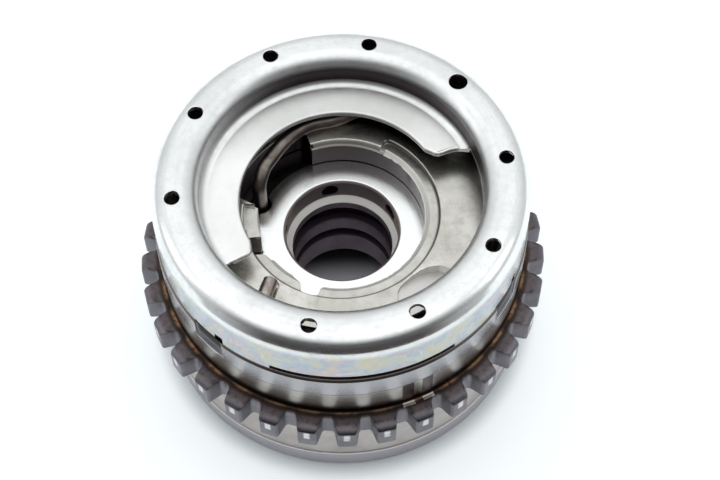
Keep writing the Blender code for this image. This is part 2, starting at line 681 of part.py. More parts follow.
def rotor(look):
    """Hub with five vanes, the oil bore, ports, seal slots and the spring's hole."""
    outline = []
    tip_turn = math.degrees(1.2 * VANE_TIP_ROUND / VANE_TIP_R)
    root_turn = math.degrees(2.0 * VANE_ROOT_ROUND / HUB_R)
    for cell in range(CELLS):
        start, end = vane_edges(cell)
        next_start = vane_edges(cell + 1)[0] if cell + 1 < CELLS else vane_edges(0)[0] + 360.0
        corners = [
            (*polar(HUB_R, start), VANE_ROOT_ROUND),
            (*polar(VANE_TIP_R, start), VANE_TIP_ROUND),
        ]
        tip = [(*spot, 0.0) for spot in arc(VANE_TIP_R, start + tip_turn, end - tip_turn, 4)]
        corners += tip + [(*polar(VANE_TIP_R, end), VANE_TIP_ROUND), (*polar(HUB_R, end), VANE_ROOT_ROUND)]
        hub = [(*spot, 0.0) for spot in arc(HUB_R, end + root_turn, next_start - root_turn, 7)]
        outline += corners + hub
    body = prism("rotor", [rounded(outline, 2)], ROTOR_Z0, ROTOR_Z1, look)

    bore = [(0.0, ROTOR_Z0 - THROUGH), (BORE_R, ROTOR_Z0 - THROUGH)]
    for top, bottom in reversed(GROOVES):
        bore += [(BORE_R, ROTOR_Z1 - bottom), (GROOVE_R, ROTOR_Z1 - bottom),
                 (GROOVE_R, ROTOR_Z1 - top), (BORE_R, ROTOR_Z1 - top)]
    step_z = ROTOR_Z1 - COUNTERBORE_DEPTH
    bore += [(BORE_R, step_z - BORE_CONE), (COUNTERBORE_R, step_z),
             (COUNTERBORE_R, ROTOR_Z1 - BORE_CHAMFER), (COUNTERBORE_R + BORE_CHAMFER, ROTOR_Z1),
             (COUNTERBORE_R + BORE_CHAMFER, ROTOR_Z1 + THROUGH), (0.0, ROTOR_Z1 + THROUGH)]
    subtract(body, turned("cut_rotor_bore", bore, steps=36))

    half = SEAL_W / 2.0 + SEAL_SIDE_GAP
    floor = CHAMBER_R - RUN - SEAL_SLOT
    slots = [strip(seal_middle(c), floor, VANE_TIP_R + THROUGH, half) for c in range(CELLS)]
    subtract(body, prism("cut_vane_seal_slots", slots, ROTOR_Z0 - THROUGH, ROTOR_Z1 + THROUGH))

    upright = [
        rod(FOOT_HOLE_D / 2.0, ROTOR_Z1 - FOOT_HOLE_DEPTH, ROTOR_Z1 + THROUGH, polar(FOOT_R, FOOT_AT)),
        rod(LOCK_HOLE_D / 2.0, ROTOR_Z0 - THROUGH, ROTOR_Z1 + THROUGH, polar(LOCK_R, lock_middle()), 20),
        rod(CAM_PIN_D / 2.0 + DOWEL_FIT, ROTOR_Z0 - THROUGH, ROTOR_Z0 + CAM_PIN_SEAT + RUN,
            polar(CAM_PIN_AT, web_middle(0)), 12),
    ]
    subtract(body, rods("cut_rotor_holes", upright))

    upper, lower = [], []
    turn = math.degrees((PORT_D / 2.0 + PORT_OFF_VANE) / HUB_R)
    for cell in range(CELLS):
        start, end = vane_edges(cell)
        upper.append((start - turn, ROTOR_Z1 - UPPER_PORT_DEPTH, COUNTERBORE_R - 2.0))
        lower.append((end + turn, ROTOR_Z1 - sum(GROOVES[0]) / 2.0, GROOVE_R - 2.0))
    subtract(body, ports("cut_upper_ports", upper))
    subtract(body, ports("cut_lower_ports", lower))
    return body


def ports(name, drillings):
    """Radial drillings from the bore out into the chambers."""
    bm = bmesh.new()
    for angle, z, r0 in drillings:
        length = HUB_R + 0.8 - r0
        middle = Vector((*polar(r0 + length / 2.0, angle), z)) * MM
        turn = Matrix.Rotation(math.radians(angle), 4, "Z") @ Matrix.Rotation(math.pi / 2.0, 4, "Y")
        bmesh.ops.create_cone(bm, cap_ends=True, segments=12, radius1=PORT_D / 2.0 * MM,
                              radius2=PORT_D / 2.0 * MM, depth=length * MM,
                              matrix=Matrix.Translation(middle) @ turn)
    return finish(name, bm, None)


def cover_screws(look):
    """Five socket screws from the rear, through the webs, into the front cover."""
    seat = HEAD_POCKET_DEPTH - SEAT
    for cell in range(CELLS):
        spot = polar(SCREW_R, web_middle(cell))
        profile = [
            (0.0, seat - HEAD_H), (HEAD_D / 2.0 - HEAD_CHAMFER, seat - HEAD_H),
            (HEAD_D / 2.0, seat - HEAD_H + HEAD_CHAMFER), (HEAD_D / 2.0, seat), (SCREW_D / 2.0, seat),
            (SCREW_D / 2.0, COVER_Z0 + SCREW_GRIP - SCREW_POINT),
            (SCREW_D / 2.0 - SCREW_POINT, COVER_Z0 + SCREW_GRIP),
            (0.0, COVER_Z0 + SCREW_GRIP),
        ]
        screw = turned(f"cover_screw_{cell + 1}", profile, look, steps=12, centre=spot)
        hexagon = arc(HEX_KEY / 2.0 / math.cos(math.pi / 6.0), 0.0, 360.0, 6, spot)[:-1]
        cutter = prism(f"cut_hex_{cell + 1}", [hexagon], seat - HEAD_H - 1.0, seat - HEAD_H + HEX_DEPTH)
        subtract(screw, cutter)


def pins(look):
    """The dowel between front cover and housing, and the rotor's camshaft pin."""
    for name, diameter, radius, z0, length in (
            ("cover_dowel", DOWEL_D, DOWEL_R, (HOUSING_Z1 + COVER_Z0 - DOWEL_LENGTH) / 2.0, DOWEL_LENGTH),
            ("cam_dowel", CAM_PIN_D, CAM_PIN_AT, ROTOR_Z0 - CAM_PIN_OUT, CAM_PIN_OUT + CAM_PIN_SEAT)):
        r = diameter / 2.0
        z1 = z0 + length
        profile = [(0.0, z0), (r - DOWEL_CHAMFER, z0), (r, z0 + DOWEL_CHAMFER), (r, z1 - DOWEL_CHAMFER),
                   (r - DOWEL_CHAMFER, z1), (0.0, z1)]
        turned(name, profile, look, steps=12, centre=polar(radius, web_middle(0)))


def lock_parts(steel, spring_steel, plastic):
    """Sleeve, hollow pin, spring and plug in the wide vane."""
    spot = polar(LOCK_R, lock_middle())
    sleeve_z0 = ROTOR_Z0 + 0.2
    sleeve_z1 = sleeve_z0 + SLEEVE_LENGTH
    r_in, r_out = PIN_D / 2.0 + 0.15, SLEEVE_D / 2.0
    turned("lock_sleeve", [(r_in, sleeve_z0), (r_out - 0.4, sleeve_z0), (r_out, sleeve_z0 + 0.4),
                           (r_out, sleeve_z1), (r_in, sleeve_z1)], steel, steps=20, centre=spot)

    nose = REAR_COVER_T - LOCK_GROOVE_DEPTH + RUN
    collar_z0 = sleeve_z1 + RUN
    collar_z1 = collar_z0 + COLLAR_H
    r_pin, r_hole = PIN_D / 2.0, PIN_BORE_D / 2.0
    floor = nose + PIN_FLOOR
    pin = turned("lock_pin", [
        (0.0, nose), (r_pin - PIN_NOSE, nose), (r_pin, nose + PIN_NOSE), (r_pin, collar_z0),
        (PIN_COLLAR_D / 2.0, collar_z0), (PIN_COLLAR_D / 2.0, collar_z1), (r_hole, collar_z1),
        (r_hole, floor), (0.0, floor)], steel, steps=20, centre=spot)

    plug_z1 = ROTOR_Z1 - 0.2
    plug_z0 = plug_z1 - PLUG_H
    nose_r = LOCK_COIL_R - LOCK_WIRE_D / 2.0 - RUN
    turned("lock_plug", [(0.0, plug_z0 - PLUG_NOSE), (nose_r, plug_z0 - PLUG_NOSE), (nose_r, plug_z0),
                         (SLEEVE_D / 2.0, plug_z0), (SLEEVE_D / 2.0, plug_z1), (0.0, plug_z1)],
           plastic, steps=16, centre=spot)

    z0 = floor + LOCK_WIRE_D / 2.0 + 0.1
    z1 = plug_z0 - LOCK_WIRE_D / 2.0 - 0.1
    per_turn = 9
    points = []
    for step in range(LOCK_TURNS * per_turn + 1):
        angle = 360.0 * step / per_turn
        x, y = polar(LOCK_COIL_R, angle)
        points.append((spot[0] + x, spot[1] + y, z0 + (z1 - z0) * step / (LOCK_TURNS * per_turn)))
    wire_curve("lock_spring", points, LOCK_WIRE_D / 2.0, spring_steel, 1)
    return pin


def ease(share):
    """Smooth step from 0 to 1."""
    share = min(max(share, 0.0), 1.0)
    return share * share * (3.0 - 2.0 * share)


def spring_path():
    """Wire centre line: tang, outer turn, inner turn, arm and foot.

    The outer turn lies on the cover. It narrows and climbs over the tang to become the inner
    turn, which comes down again and leads into the arm under the cap's ledge.
    """
    start, way = tang_line()
    join = TANG_AT + TANG_BEND
    points = []
    for step in range(6):
        along = TANG_LENGTH * step / 5.0
        spot = start + way * along
        sink = TANG_SINK * (1.0 - ease((along - TANG_LENGTH + TANG_RAMP) / TANG_RAMP))
        points.append((spot.x, spot.y, COIL_Z - sink))

    last = start + way * TANG_LENGTH
    goal = Vector(polar(COIL_OUT_R, join))
    ahead = Vector(polar(1.0, join + 90.0))
    for step in range(1, 6):
        t = step / 6.0
        a, b, c, d = last, last + way * BEND_PULL, goal - ahead * BEND_PULL, goal
        spot = a * (1 - t) ** 3 + b * 3 * t * (1 - t) ** 2 + c * 3 * t * t * (1 - t) + d * t ** 3
        points.append((spot.x, spot.y, COIL_Z))

    climbed = TANG_AT + 360.0 - CLIMB_END
    descent = TANG_AT + 360.0 + DESCENT
    leave = 360.0 + ARM_FROM
    angle = join
    while angle < leave:
        share = ease((angle - CLIMB_FROM) / (climbed - CLIMB_FROM))
        radius = COIL_OUT_R + (COIL_IN_R - COIL_OUT_R) * share
        down = ease((angle - descent) / (leave - descent))
        x, y = polar(radius, angle)
        points.append((x, y, COIL_Z + COIL_RISE * share * (1.0 - down)))
        angle += 9.0

    for step in range(1, 12):
        t = step / 11.0
        angle = leave + (FOOT_AT + 360.0 - ARM_END - leave) * t
        radius = COIL_IN_R + (ARM_R - COIL_IN_R) * ease(t * 2.0)
        radius += (FOOT_R + ARM_OUT - ARM_R) * ease((t - 0.55) / 0.45)
        x, y = polar(radius, angle)
        points.append((x, y, COIL_Z))

    x, y = polar(FOOT_R, FOOT_AT)
    before = Vector(points[-1])
    foot_top = Vector((x, y, COIL_Z - FOOT_BEND))
    corner = Vector((x, y, COIL_Z))
    for step in range(1, 5):
        t = step / 4.0
        spot = before * (1 - t) ** 2 + corner * 2 * t * (1 - t) + foot_top * t * t
        points.append(tuple(spot))
    points.append((x, y, ROTOR_Z1 - FOOT_DEPTH))
    return points


def sheet_profile():
    """Closed section of the cap's sheet: skirt, crown, well wall and ledge."""
    top = CAP_Z1
    outer = [(CAP_R, RIM_Z)]
    outer += arc(CAP_OUT_ROUND, 0.0, 90.0, 4, (CAP_R - CAP_OUT_ROUND, top - CAP_OUT_ROUND))
    outer += arc(CAP_IN_ROUND, 90.0, 180.0, 4, (CAP_WELL_R + CAP_IN_ROUND, top - CAP_IN_ROUND))
    outer += [(CAP_WELL_R, LEDGE_Z1 + LEDGE_FOOT), (CAP_WELL_R - LEDGE_FOOT, LEDGE_Z1), (LEDGE_R, LEDGE_Z1)]
    inner = [(LEDGE_R, LEDGE_Z1 - SHEET), (CAP_WELL_R + SHEET / 3.0, LEDGE_Z1 - SHEET),
             (CAP_WELL_R + SHEET, LEDGE_Z1 - SHEET / 3.0)]
    inner += arc(CAP_IN_ROUND - SHEET, 180.0, 90.0, 3, (CAP_WELL_R + CAP_IN_ROUND, top - CAP_IN_ROUND))
    inner += arc(CAP_OUT_ROUND - SHEET, 90.0, 0.0, 3, (CAP_R - CAP_OUT_ROUND, top - CAP_OUT_ROUND))
    inner += [(CAP_R - SHEET, RIM_Z)]
    return outer + inner


def spring_cap(look):
    """Stamped cap: crown with a hole circle, skirt, well wall and C-shaped ledge."""
    body = turned("spring_cap", sheet_profile(), look)

    start, end = LEDGE_TO - 360.0, LEDGE_FROM
    nose, inside = end + LEDGE_NOSE_TURN, end + 7.0 * LEDGE_NOSE_TURN
    low, high = LEDGE_Z1 - SHEET - THROUGH, LEDGE_Z1 + LEDGE_FOOT + RUN
    edge = CAP_WELL_R - LEDGE_EDGE
    opening = [(*spot, 0.0) for spot in arc(edge, start, end, 20)]
    opening += [(*polar(LEDGE_R + LEDGE_EDGE, nose), LEDGE_ROUND), (*polar(LEDGE_R - THROUGH, inside), 0.0)]
    behind = start - 2.0 * LEDGE_NOSE_TURN
    opening += [(*spot, 0.0) for spot in arc(LEDGE_R - 2.0 * THROUGH, inside, behind, 12)]
    opening.append((*polar(LEDGE_R + LEDGE_LOBE, start + LEDGE_LOBE_TURN), LEDGE_ROUND))
    subtract(body, prism("cut_ledge_opening", [rounded(opening)], low, high))

    trim = sector(edge - THROUGH, CAP_WELL_R + SHEET + THROUGH, start, end - 2.0, 20)
    subtract(body, prism("cut_well_edge", [trim], low, LEDGE_Z1 - SHEET / 2.0))

    holes = []
    for station in range(CAP_STATIONS):
        if station != BLANK_STATION:
            size = CAP_HOLE_BIG_D if station == BIG_STATION else CAP_HOLE_D
            spot = polar(CAP_HOLE_CIRCLE, CAP_HOLE_AT + 360.0 / CAP_STATIONS * station)
            holes.append(rod(size / 2.0, CAP_Z1 - CAP_OUT_ROUND, CAP_Z1 + THROUGH, spot, 12))
    subtract(body, rods("cut_cap_holes", holes))

    r0, r1 = CAP_R - SHEET - THROUGH, CAP_R + THROUGH
    rim = RIM_Z - THROUGH
    windows = [(sector(r0, r1, *RELIEF_AZ), rim, RIM_Z + RELIEF)]
    nicks = []
    for start, end in WINDOW_AZ:
        windows.append((sector(r0, r1, start, end - NICK / 2.0, 4), rim, RIM_Z + WINDOW_H))
        nicks.append((sector(r0, r1, end - NICK, end, 1), rim - 0.5, RIM_Z + NICK_H))
    subtract(body, rods("cut_rim_windows", windows))
    subtract(body, rods("cut_rim_nicks", nicks))
    return body


def on_axis(objects, x, y):
    """Parent a moving piece to an empty on its joint's axis."""
    empty = bpy.data.objects.new("axis_" + objects[0].name, None)
    empty.location = (x * MM, y * MM, 0.0)
    bpy.context.scene.collection.objects.link(empty)
    for part in objects:
        part.parent = empty
        part.matrix_parent_inverse = Matrix.Translation((-x * MM, -y * MM, 0.0))


def main():
    for old in list(bpy.data.objects):
        bpy.data.objects.remove(old, do_unlink=True)

    zinc = material("zinc_plated_sheet", (0.62, 0.63, 0.64), 0.3, 1.0)
    sinter = material("sintered_steel", (0.45, 0.42, 0.38), 0.55, 0.9)
    hardened = material("hardened_sprocket", (0.2, 0.19, 0.2), 0.42, 0.9)
    ground = material("ground_rotor", (0.7, 0.71, 0.73), 0.28, 1.0)
    wire = material("spring_wire", (0.3, 0.26, 0.23), 0.4, 0.95)
    bright = material("bright_steel", (0.55, 0.55, 0.56), 0.3, 1.0)
    plastic = material("seal_plastic", (0.08, 0.07, 0.06), 0.5, 0.0)

    sprocket_housing(hardened)
    front_cover(sinter)
    rear_cover(sinter)
    spring_cap(zinc)
    turning = rotor(ground)
    on_axis([turning], 0.0, 0.0)
    cover_screws(bright)
    pins(bright)
    seals(bright, plastic)
    pin = lock_parts(bright, wire, plastic)
    on_axis([pin], *polar(LOCK_R, lock_middle()))
    wire_curve("return_spring", spring_path(), WIRE_R, wire, 3)


main()
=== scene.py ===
# %% [markdown]
# # A cam phaser, dressed for its portrait
#
# A cam phaser sits on the end of a camshaft. A chain drives its toothed housing, oil pressure
# turns the vaned rotor inside, and a torsion spring under the stamped cap turns it back.
# The plain solids of every piece come from the mechanical model. This lesson replaces those that
# are seen with smoother ones, and gives each surface the finish that its making leaves on it.

# %% Load the mechanical model
import math

import bmesh
import bpy
from mathutils import Matrix, Vector


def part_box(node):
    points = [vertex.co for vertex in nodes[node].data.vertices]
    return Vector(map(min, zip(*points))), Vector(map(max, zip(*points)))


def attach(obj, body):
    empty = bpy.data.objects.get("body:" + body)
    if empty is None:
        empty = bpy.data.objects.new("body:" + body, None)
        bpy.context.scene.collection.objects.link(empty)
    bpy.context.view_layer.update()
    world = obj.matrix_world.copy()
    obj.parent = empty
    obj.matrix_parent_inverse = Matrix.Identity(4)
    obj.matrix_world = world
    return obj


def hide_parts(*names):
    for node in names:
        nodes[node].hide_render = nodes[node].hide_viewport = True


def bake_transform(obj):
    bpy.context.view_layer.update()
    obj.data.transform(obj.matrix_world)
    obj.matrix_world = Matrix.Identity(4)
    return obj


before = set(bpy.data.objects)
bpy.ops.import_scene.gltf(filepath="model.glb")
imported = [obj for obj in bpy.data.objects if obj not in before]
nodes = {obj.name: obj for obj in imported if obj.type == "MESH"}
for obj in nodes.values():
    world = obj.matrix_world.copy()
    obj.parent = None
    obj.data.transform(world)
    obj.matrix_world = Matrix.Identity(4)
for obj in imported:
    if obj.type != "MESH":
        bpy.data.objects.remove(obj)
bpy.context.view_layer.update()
print("solids in the model:", len(nodes))

# %% [markdown]
# ## Sizes and small helpers
#
# Points are written in millimetres, as on a drawing, and turned into metres for Blender. Heights
# are read off the solids, so that a new piece sits exactly where the old one did.

# %% Units and heights
MM = 0.001


def span(node):
    """Lowest and highest level of one solid, in millimetres."""
    low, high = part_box(node)
    return low[2] / MM, high[2] / MM


CAP_RIM, CAP_TOP = span("spring_cap")
COVER_LOW, COVER_TOP = span("front_cover")
DRUM_LOW, DRUM_TOP = span("sprocket_housing")
ROTOR_LOW, ROTOR_TOP = span("rotor")
REAR_TOP = span("rear_cover")[1]
FLANGE = COVER_TOP - 0.9  # level of the front cover's outer rim
LEDGE_TOP = CAP_TOP - 8.3  # level of the ledge at the foot of the cap's well
SHEET = 1.2  # thickness of the cap's sheet
print("tops in mm:", round(CAP_TOP, 2), round(COVER_TOP, 2), round(DRUM_TOP, 2))

# %% [markdown]
# Every operator in Blender acts on what is selected. The helpers below start from a clean
# selection, open one piece in edit mode, and leave it again.


# %% Selecting and editing one piece
def only(piece):
    """Select one piece and nothing else."""
    bpy.ops.object.select_all(action="DESELECT")
    piece.select_set(True)
    bpy.context.view_layer.objects.active = piece


def polar(radius, degrees):
    angle = math.radians(degrees)
    return radius * math.cos(angle), radius * math.sin(angle)


def arc(radius, start, end, steps, centre=(0.0, 0.0)):
    """Points on an arc, from one angle to another in degrees."""
    points = []
    for step in range(steps + 1):
        x, y = polar(radius, start + (end - start) * step / steps)
        points.append((centre[0] + x, centre[1] + y))
    return points


def rounded(corners, steps=5):
    """Replace each corner (x, y, radius) of an outline by an arc."""
    outline = []
    for i, (x, y, radius) in enumerate(corners):
        here = Vector((x, y))
        if radius <= 0.0:
            outline.append((x, y))
            continue
        back = (Vector(corners[i - 1][:2]) - here).normalized()
        ahead = (Vector(corners[(i + 1) % len(corners)][:2]) - here).normalized()
        half = back.angle(ahead) / 2.0
        reach = radius / math.tan(half)
        centre = here + (back + ahead).normalized() * radius / math.sin(half)
        first = here + back * reach - centre
        turn = (here + ahead * reach - centre).angle_signed(first)
        for step in range(steps + 1):
            spot = centre + Matrix.Rotation(turn * step / steps, 2) @ first
            outline.append((spot.x, spot.y))
    return outline


# %% [markdown]
# ## Drawing a line, then turning or raising it
#
# A section drawn beside the axis and spun round it is what a lathe does. An outline that is
# filled and pulled upwards is what a milling cutter does. Both start from a small plane merged
# into one point, and the rest of the line is pulled out of it with extrude, as by hand.


# %% Draw a closed line
def draw(name, points):
    """A closed chain of points in metres, pulled out of one vertex; stays in edit mode."""
    bpy.ops.object.select_all(action="DESELECT")
    bpy.ops.mesh.primitive_plane_add(size=0.01, location=(0.0, 0.0, 0.0))
    piece = bpy.context.object
    piece.name = name
    piece.data.name = name
    bpy.ops.object.mode_set(mode="EDIT")
    bpy.ops.mesh.select_all(action="SELECT")
    bpy.ops.mesh.merge(type="CENTER")
    bpy.ops.transform.translate(value=points[0])
    for before, after in zip(points, points[1:]):
        move = tuple(b - a for a, b in zip(before, after))
        bpy.ops.mesh.extrude_vertices_move(TRANSFORM_OT_translate={"value": move})
    shape = bmesh.from_edit_mesh(piece.data)
    ends = [v for v in shape.verts if len(v.link_edges) == 1]
    for v in ends:
        v.select = True
    bmesh.update_edit_mesh(piece.data)
    bpy.ops.mesh.edge_face_add()
    bpy.ops.mesh.select_all(action="SELECT")
    return piece


def close_mesh():
    """Merge doubled points, turn all faces outwards and leave edit mode."""
    bpy.ops.mesh.select_all(action="SELECT")
    bpy.ops.mesh.remove_doubles(threshold=1e-7)
    bpy.ops.mesh.normals_make_consistent(inside=False)
    bpy.ops.object.mode_set(mode="OBJECT")


def turn(name, section, steps=240, at=(0.0, 0.0)):
    """Spin a closed (radius, height) section in millimetres round an axis along Z."""
    points = [((at[0] + r) * MM, at[1] * MM, z * MM) for r, z in section]
    piece = draw(name, points)
    bpy.ops.mesh.spin(steps=steps, angle=math.tau, center=(at[0] * MM, at[1] * MM, 0.0),
                      axis=(0.0, 0.0, 1.0))
    close_mesh()
    return piece


def raise_up(name, outline, low, high):
    """Fill an (x, y) outline in millimetres and pull it from one height to another."""
    piece = draw(name, [(x * MM, y * MM, low * MM) for x, y in outline])
    bpy.ops.mesh.edge_face_add()
    lift = (0.0, 0.0, (high - low) * MM)
    bpy.ops.mesh.extrude_region_move(TRANSFORM_OT_translate={"value": lift})
    bpy.ops.mesh.select_all(action="SELECT")
    bpy.ops.mesh.normals_make_consistent(inside=False)
    bpy.ops.object.mode_set(mode="OBJECT")
    return piece


# %% [markdown]
# ## Cutting, joining and breaking edges
#
# A Boolean modifier cuts one solid with another, as a drill does. No real edge is sharp, and the
# thin bright line along a broken edge makes metal look like metal, so most pieces end with a
# narrow Bevel. Weighted normals then keep flat faces flat.


# %% Modifier helpers
def apply_modifier(piece, kind, **settings):
    only(piece)
    step = piece.modifiers.new(kind.title(), kind)
    for key, value in settings.items():
        setattr(step, key, value)
    bpy.ops.object.modifier_apply(modifier=step.name)


def combine(piece, tools, operation="DIFFERENCE"):
    """Cut a piece with tools, or join them to it, and remove the tools."""
    for tool in tools:
        apply_modifier(piece, "BOOLEAN", object=tool, operation=operation, solver="EXACT")
        bpy.data.objects.remove(tool, do_unlink=True)


def drill(name, radius, low, high, spot, sides=32):
    """A round cutter that stands on a spot given in millimetres."""
    bpy.ops.object.select_all(action="DESELECT")
    middle = (spot[0] * MM, spot[1] * MM, (low + high) / 2.0 * MM)
    bpy.ops.mesh.primitive_cylinder_add(vertices=sides, radius=radius * MM,
                                        depth=(high - low) * MM, location=middle)
    tool = bpy.context.object
    tool.name = name
    bpy.ops.object.transform_apply(location=True, rotation=True, scale=True)
    return tool


def soften(piece, width, segments=2, angle=38.0):
    """Break the sharp edges of a piece, width in millimetres, and smooth its round faces."""
    apply_modifier(piece, "BEVEL", width=width * MM, segments=segments, limit_method="ANGLE",
                   angle_limit=math.radians(angle), use_clamp_overlap=False,
                   miter_outer="MITER_ARC", harden_normals=False)
    smooth(piece)


def round_edges(piece, pick, width, segments=3):
    """Round the sharp edges that the pick function accepts, width in millimetres."""
    only(piece)
    bpy.ops.object.mode_set(mode="EDIT")
    bpy.ops.mesh.select_all(action="DESELECT")
    shape = bmesh.from_edit_mesh(piece.data)
    for edge in shape.edges:
        edge.select = edge.calc_face_angle(0.0) > 1.0 and all(pick(v.co / MM) for v in edge.verts)
    bmesh.update_edit_mesh(piece.data)
    bpy.ops.mesh.bevel(offset=width * MM, segments=segments)
    bpy.ops.object.mode_set(mode="OBJECT")


def smooth(piece, angle=32.0):
    only(piece)
    bpy.ops.object.shade_smooth_by_angle(angle=math.radians(angle))
    apply_modifier(piece, "WEIGHTED_NORMAL", keep_sharp=True, weight=60)


def triangles(piece):
    return sum(len(face.vertices) - 2 for face in piece.data.polygons)


# %% [markdown]
# ## Camera
#
# The picture was taken from in front and about 57 degrees above the horizon with a long lens.
# The camera's place and turn were worked out from the circles that share the phaser's axis.

# %% Camera
CAMERA_AT = (0.0, -197.76, 365.40)
CAMERA_TURN = (30.69934, 0.31695, -1.79647)
LENS_PIXELS = 1567.67
PHOTO_WIDTH = 720.0

lens = bpy.data.cameras.new("camera")
lens.sensor_width = 36.0
lens.lens = LENS_PIXELS / PHOTO_WIDTH * lens.sensor_width
lens.clip_start = 0.01
camera = bpy.data.objects.new("camera", lens)
bpy.context.scene.collection.objects.link(camera)
camera.location = [value * MM for value in CAMERA_AT]
camera.rotation_euler = [math.radians(value) for value in CAMERA_TURN]
bpy.context.scene.camera = camera
bpy.context.scene.view_settings.view_transform = "Standard"

# %% [markdown]
# ## Node helpers
#
# A material or a sky is a tree of nodes. These helpers place one node, or one sum, in the tree
# that is open, which is always called tree. A mask is a value between 0 and 1: the product of
# two masks lies where both of them do, and their maximum lies where either does.

# %% Node helpers
DEGREES = 180.0 / math.pi


def wire(value, into):
    """Link a socket to another one, or set it to a number, a vector or a colour."""
    if isinstance(value, bpy.types.NodeSocket):
        tree.links.new(value, into)
    else:
        into.default_value = (*value, 1.0) if into.type == "RGBA" else value


def add(kind, values=None, **settings):
    """Add one node, set its properties, then its sockets."""
    made = tree.nodes.new("ShaderNode" + kind)
    for key, value in settings.items():
        setattr(made, key, value)
    for key, value in (values or {}).items():
        wire(value, made.inputs[key])
    return made


def calc(operation, *values):
    """A Math node on sockets or numbers; returns its output."""
    return add("Math", dict(enumerate(values)), operation=operation).outputs[0]


def ramp(value, low, high, to_low=0.0, to_high=1.0):
    """A smooth step of a socket between two levels."""
    levels = {"Value": value, "From Min": low, "From Max": high, "To Min": to_low,
              "To Max": to_high}
    return add("MapRange", levels, interpolation_type="SMOOTHSTEP").outputs["Result"]


def chain(operation, values):
    """One Math node after another. A tuple stands for a ramp with its levels."""
    result = None
    for value in values:
        value = ramp(*value) if isinstance(value, tuple) else value
        result = value if result is None else calc(operation, result, value)
    return result


def both(*masks):
    return chain("MULTIPLY", masks)


def either(*masks):
    return chain("MAXIMUM", masks)


def total(*values):
    return chain("ADD", values)


def opposite(mask):
    return calc("SUBTRACT", 1.0, mask)


def axes(vector):
    """The x, y and z of a vector."""
    return add("SeparateXYZ", {0: vector}).outputs[:]


def blend_colour(share, first, second):
    """Mix two colours, given as sockets or as (red, green, blue)."""
    made = add("Mix", data_type="RGBA")
    sockets = {socket.name: socket for socket in made.inputs if socket.enabled}
    for key, value in (("Factor", share), ("A", first), ("B", second)):
        wire(value, sockets[key])
    return [socket for socket in made.outputs if socket.enabled][0]


# %% [markdown]
# ## Floor and light
#
# The paper adds a little light of its own away from the part, so that it reads as white, and none
# under it, so that the shadow at its foot stays.


# %% Floor
PAPER_GLOW = 0.38
GLOW_FROM, GLOW_FULL = 0.0455, 0.0515  # distances from the axis in metres
FLOOR_LEVEL = -0.0001


def emptied(owner):
    """The node tree of a material or a world, with nothing in it."""
    owner.use_nodes = True
    owner.node_tree.nodes.clear()
    return owner.node_tree


bpy.ops.object.select_all(action="DESELECT")
bpy.ops.mesh.primitive_plane_add(size=6.0, location=(0.0, 0.0, FLOOR_LEVEL))
floor = bpy.context.object
floor.name = "floor"
paper = bpy.data.materials.new("paper")
tree = emptied(paper)
seen = add("LightPath").outputs
shows = either(seen["Is Camera Ray"], seen["Is Glossy Ray"], seen["Is Transmission Ray"])
spread = add("VectorMath", {0: add("TexCoord").outputs["Object"]}, operation="LENGTH")
glow = both(shows, (spread.outputs["Value"], GLOW_FROM, GLOW_FULL), PAPER_GLOW)
matte = add("BsdfDiffuse", {"Color": (0.86, 0.92, 0.93)})
white = add("Emission", {"Color": (1.0, 1.0, 1.0), "Strength": glow})
lit = add("AddShader", {0: matte.outputs[0], 1: white.outputs[0]})
add("OutputMaterial", {"Surface": lit.outputs[0]})
floor.data.materials.append(paper)

# %% [markdown]
# The sky is a white tent: brighter overhead than at the horizon, and on the left than on the
# right. In front, where the photographer stands, it is nearly dark up to thirty degrees, and
# grows bright towards seventy-two. That draws the dark band round the front of the crown.

# %% Sky
DARK_UP_TO, BRIGHT_FROM = 30.0, 72.0
HORIZON_LEVEL, ZENITH_LEVEL = 0.84, 1.22
FRONT_DARK, FRONT_BRIGHT = 0.10, 1.30
RIGHT_LOSS = 0.05

world = bpy.data.worlds.new("studio")
bpy.context.scene.world = world
tree = emptied(world)
x, y, z = axes(add("TexCoord").outputs["Generated"])
rise = both(calc("ARCSINE", z), DEGREES)
flat = calc("SQRT", opposite(both(z, z)))
in_front = ramp(calc("DIVIDE", y, either(flat, 0.001)), -0.10, -0.85)
overhead = ramp(rise, 52.0, 64.0, -0.13, 0.12)
tent_wall = ramp(rise, 0.0, BRIGHT_FROM, HORIZON_LEVEL, ZENITH_LEVEL)
around = both(total(tent_wall, overhead), opposite(both(x, RIGHT_LOSS)))
ahead = ramp(rise, DARK_UP_TO, BRIGHT_FROM, FRONT_DARK, FRONT_BRIGHT)
level = total(both(around, opposite(in_front)), both(ahead, in_front))
tent = add("Background", {"Color": (0.965, 0.99, 1.0), "Strength": level})
add("OutputWorld", {"Surface": tent.outputs[0]})

# %% [markdown]
# A dark card stands on the floor in front of the part, out of the picture, for the bright sheet
# to mirror. Its ends fade to pale, so that the reflection has no hard edge. A pad of the same felt
# lies under the bore as painted shadow: it darkens the paper seen through the bore, and fades
# towards the front, where light still reaches the paper.

# %% Dark card and pad
CARD_R, CARD_HEIGHT, CARD_REACH = 0.133, 0.081, 62.0

felt = bpy.data.materials.new("felt")
felt.use_nodes = True
tree = felt.node_tree
shader = tree.nodes["Principled BSDF"]
shader.inputs["Roughness"].default_value = 0.9
nap = add("TexNoise", {"Scale": 900.0, "Vector": add("TexCoord").outputs["Object"]})
cloth = blend_colour(nap.outputs[0], (0.075, 0.06, 0.06), (0.12, 0.10, 0.10))
wire(cloth, shader.inputs["Base Color"])


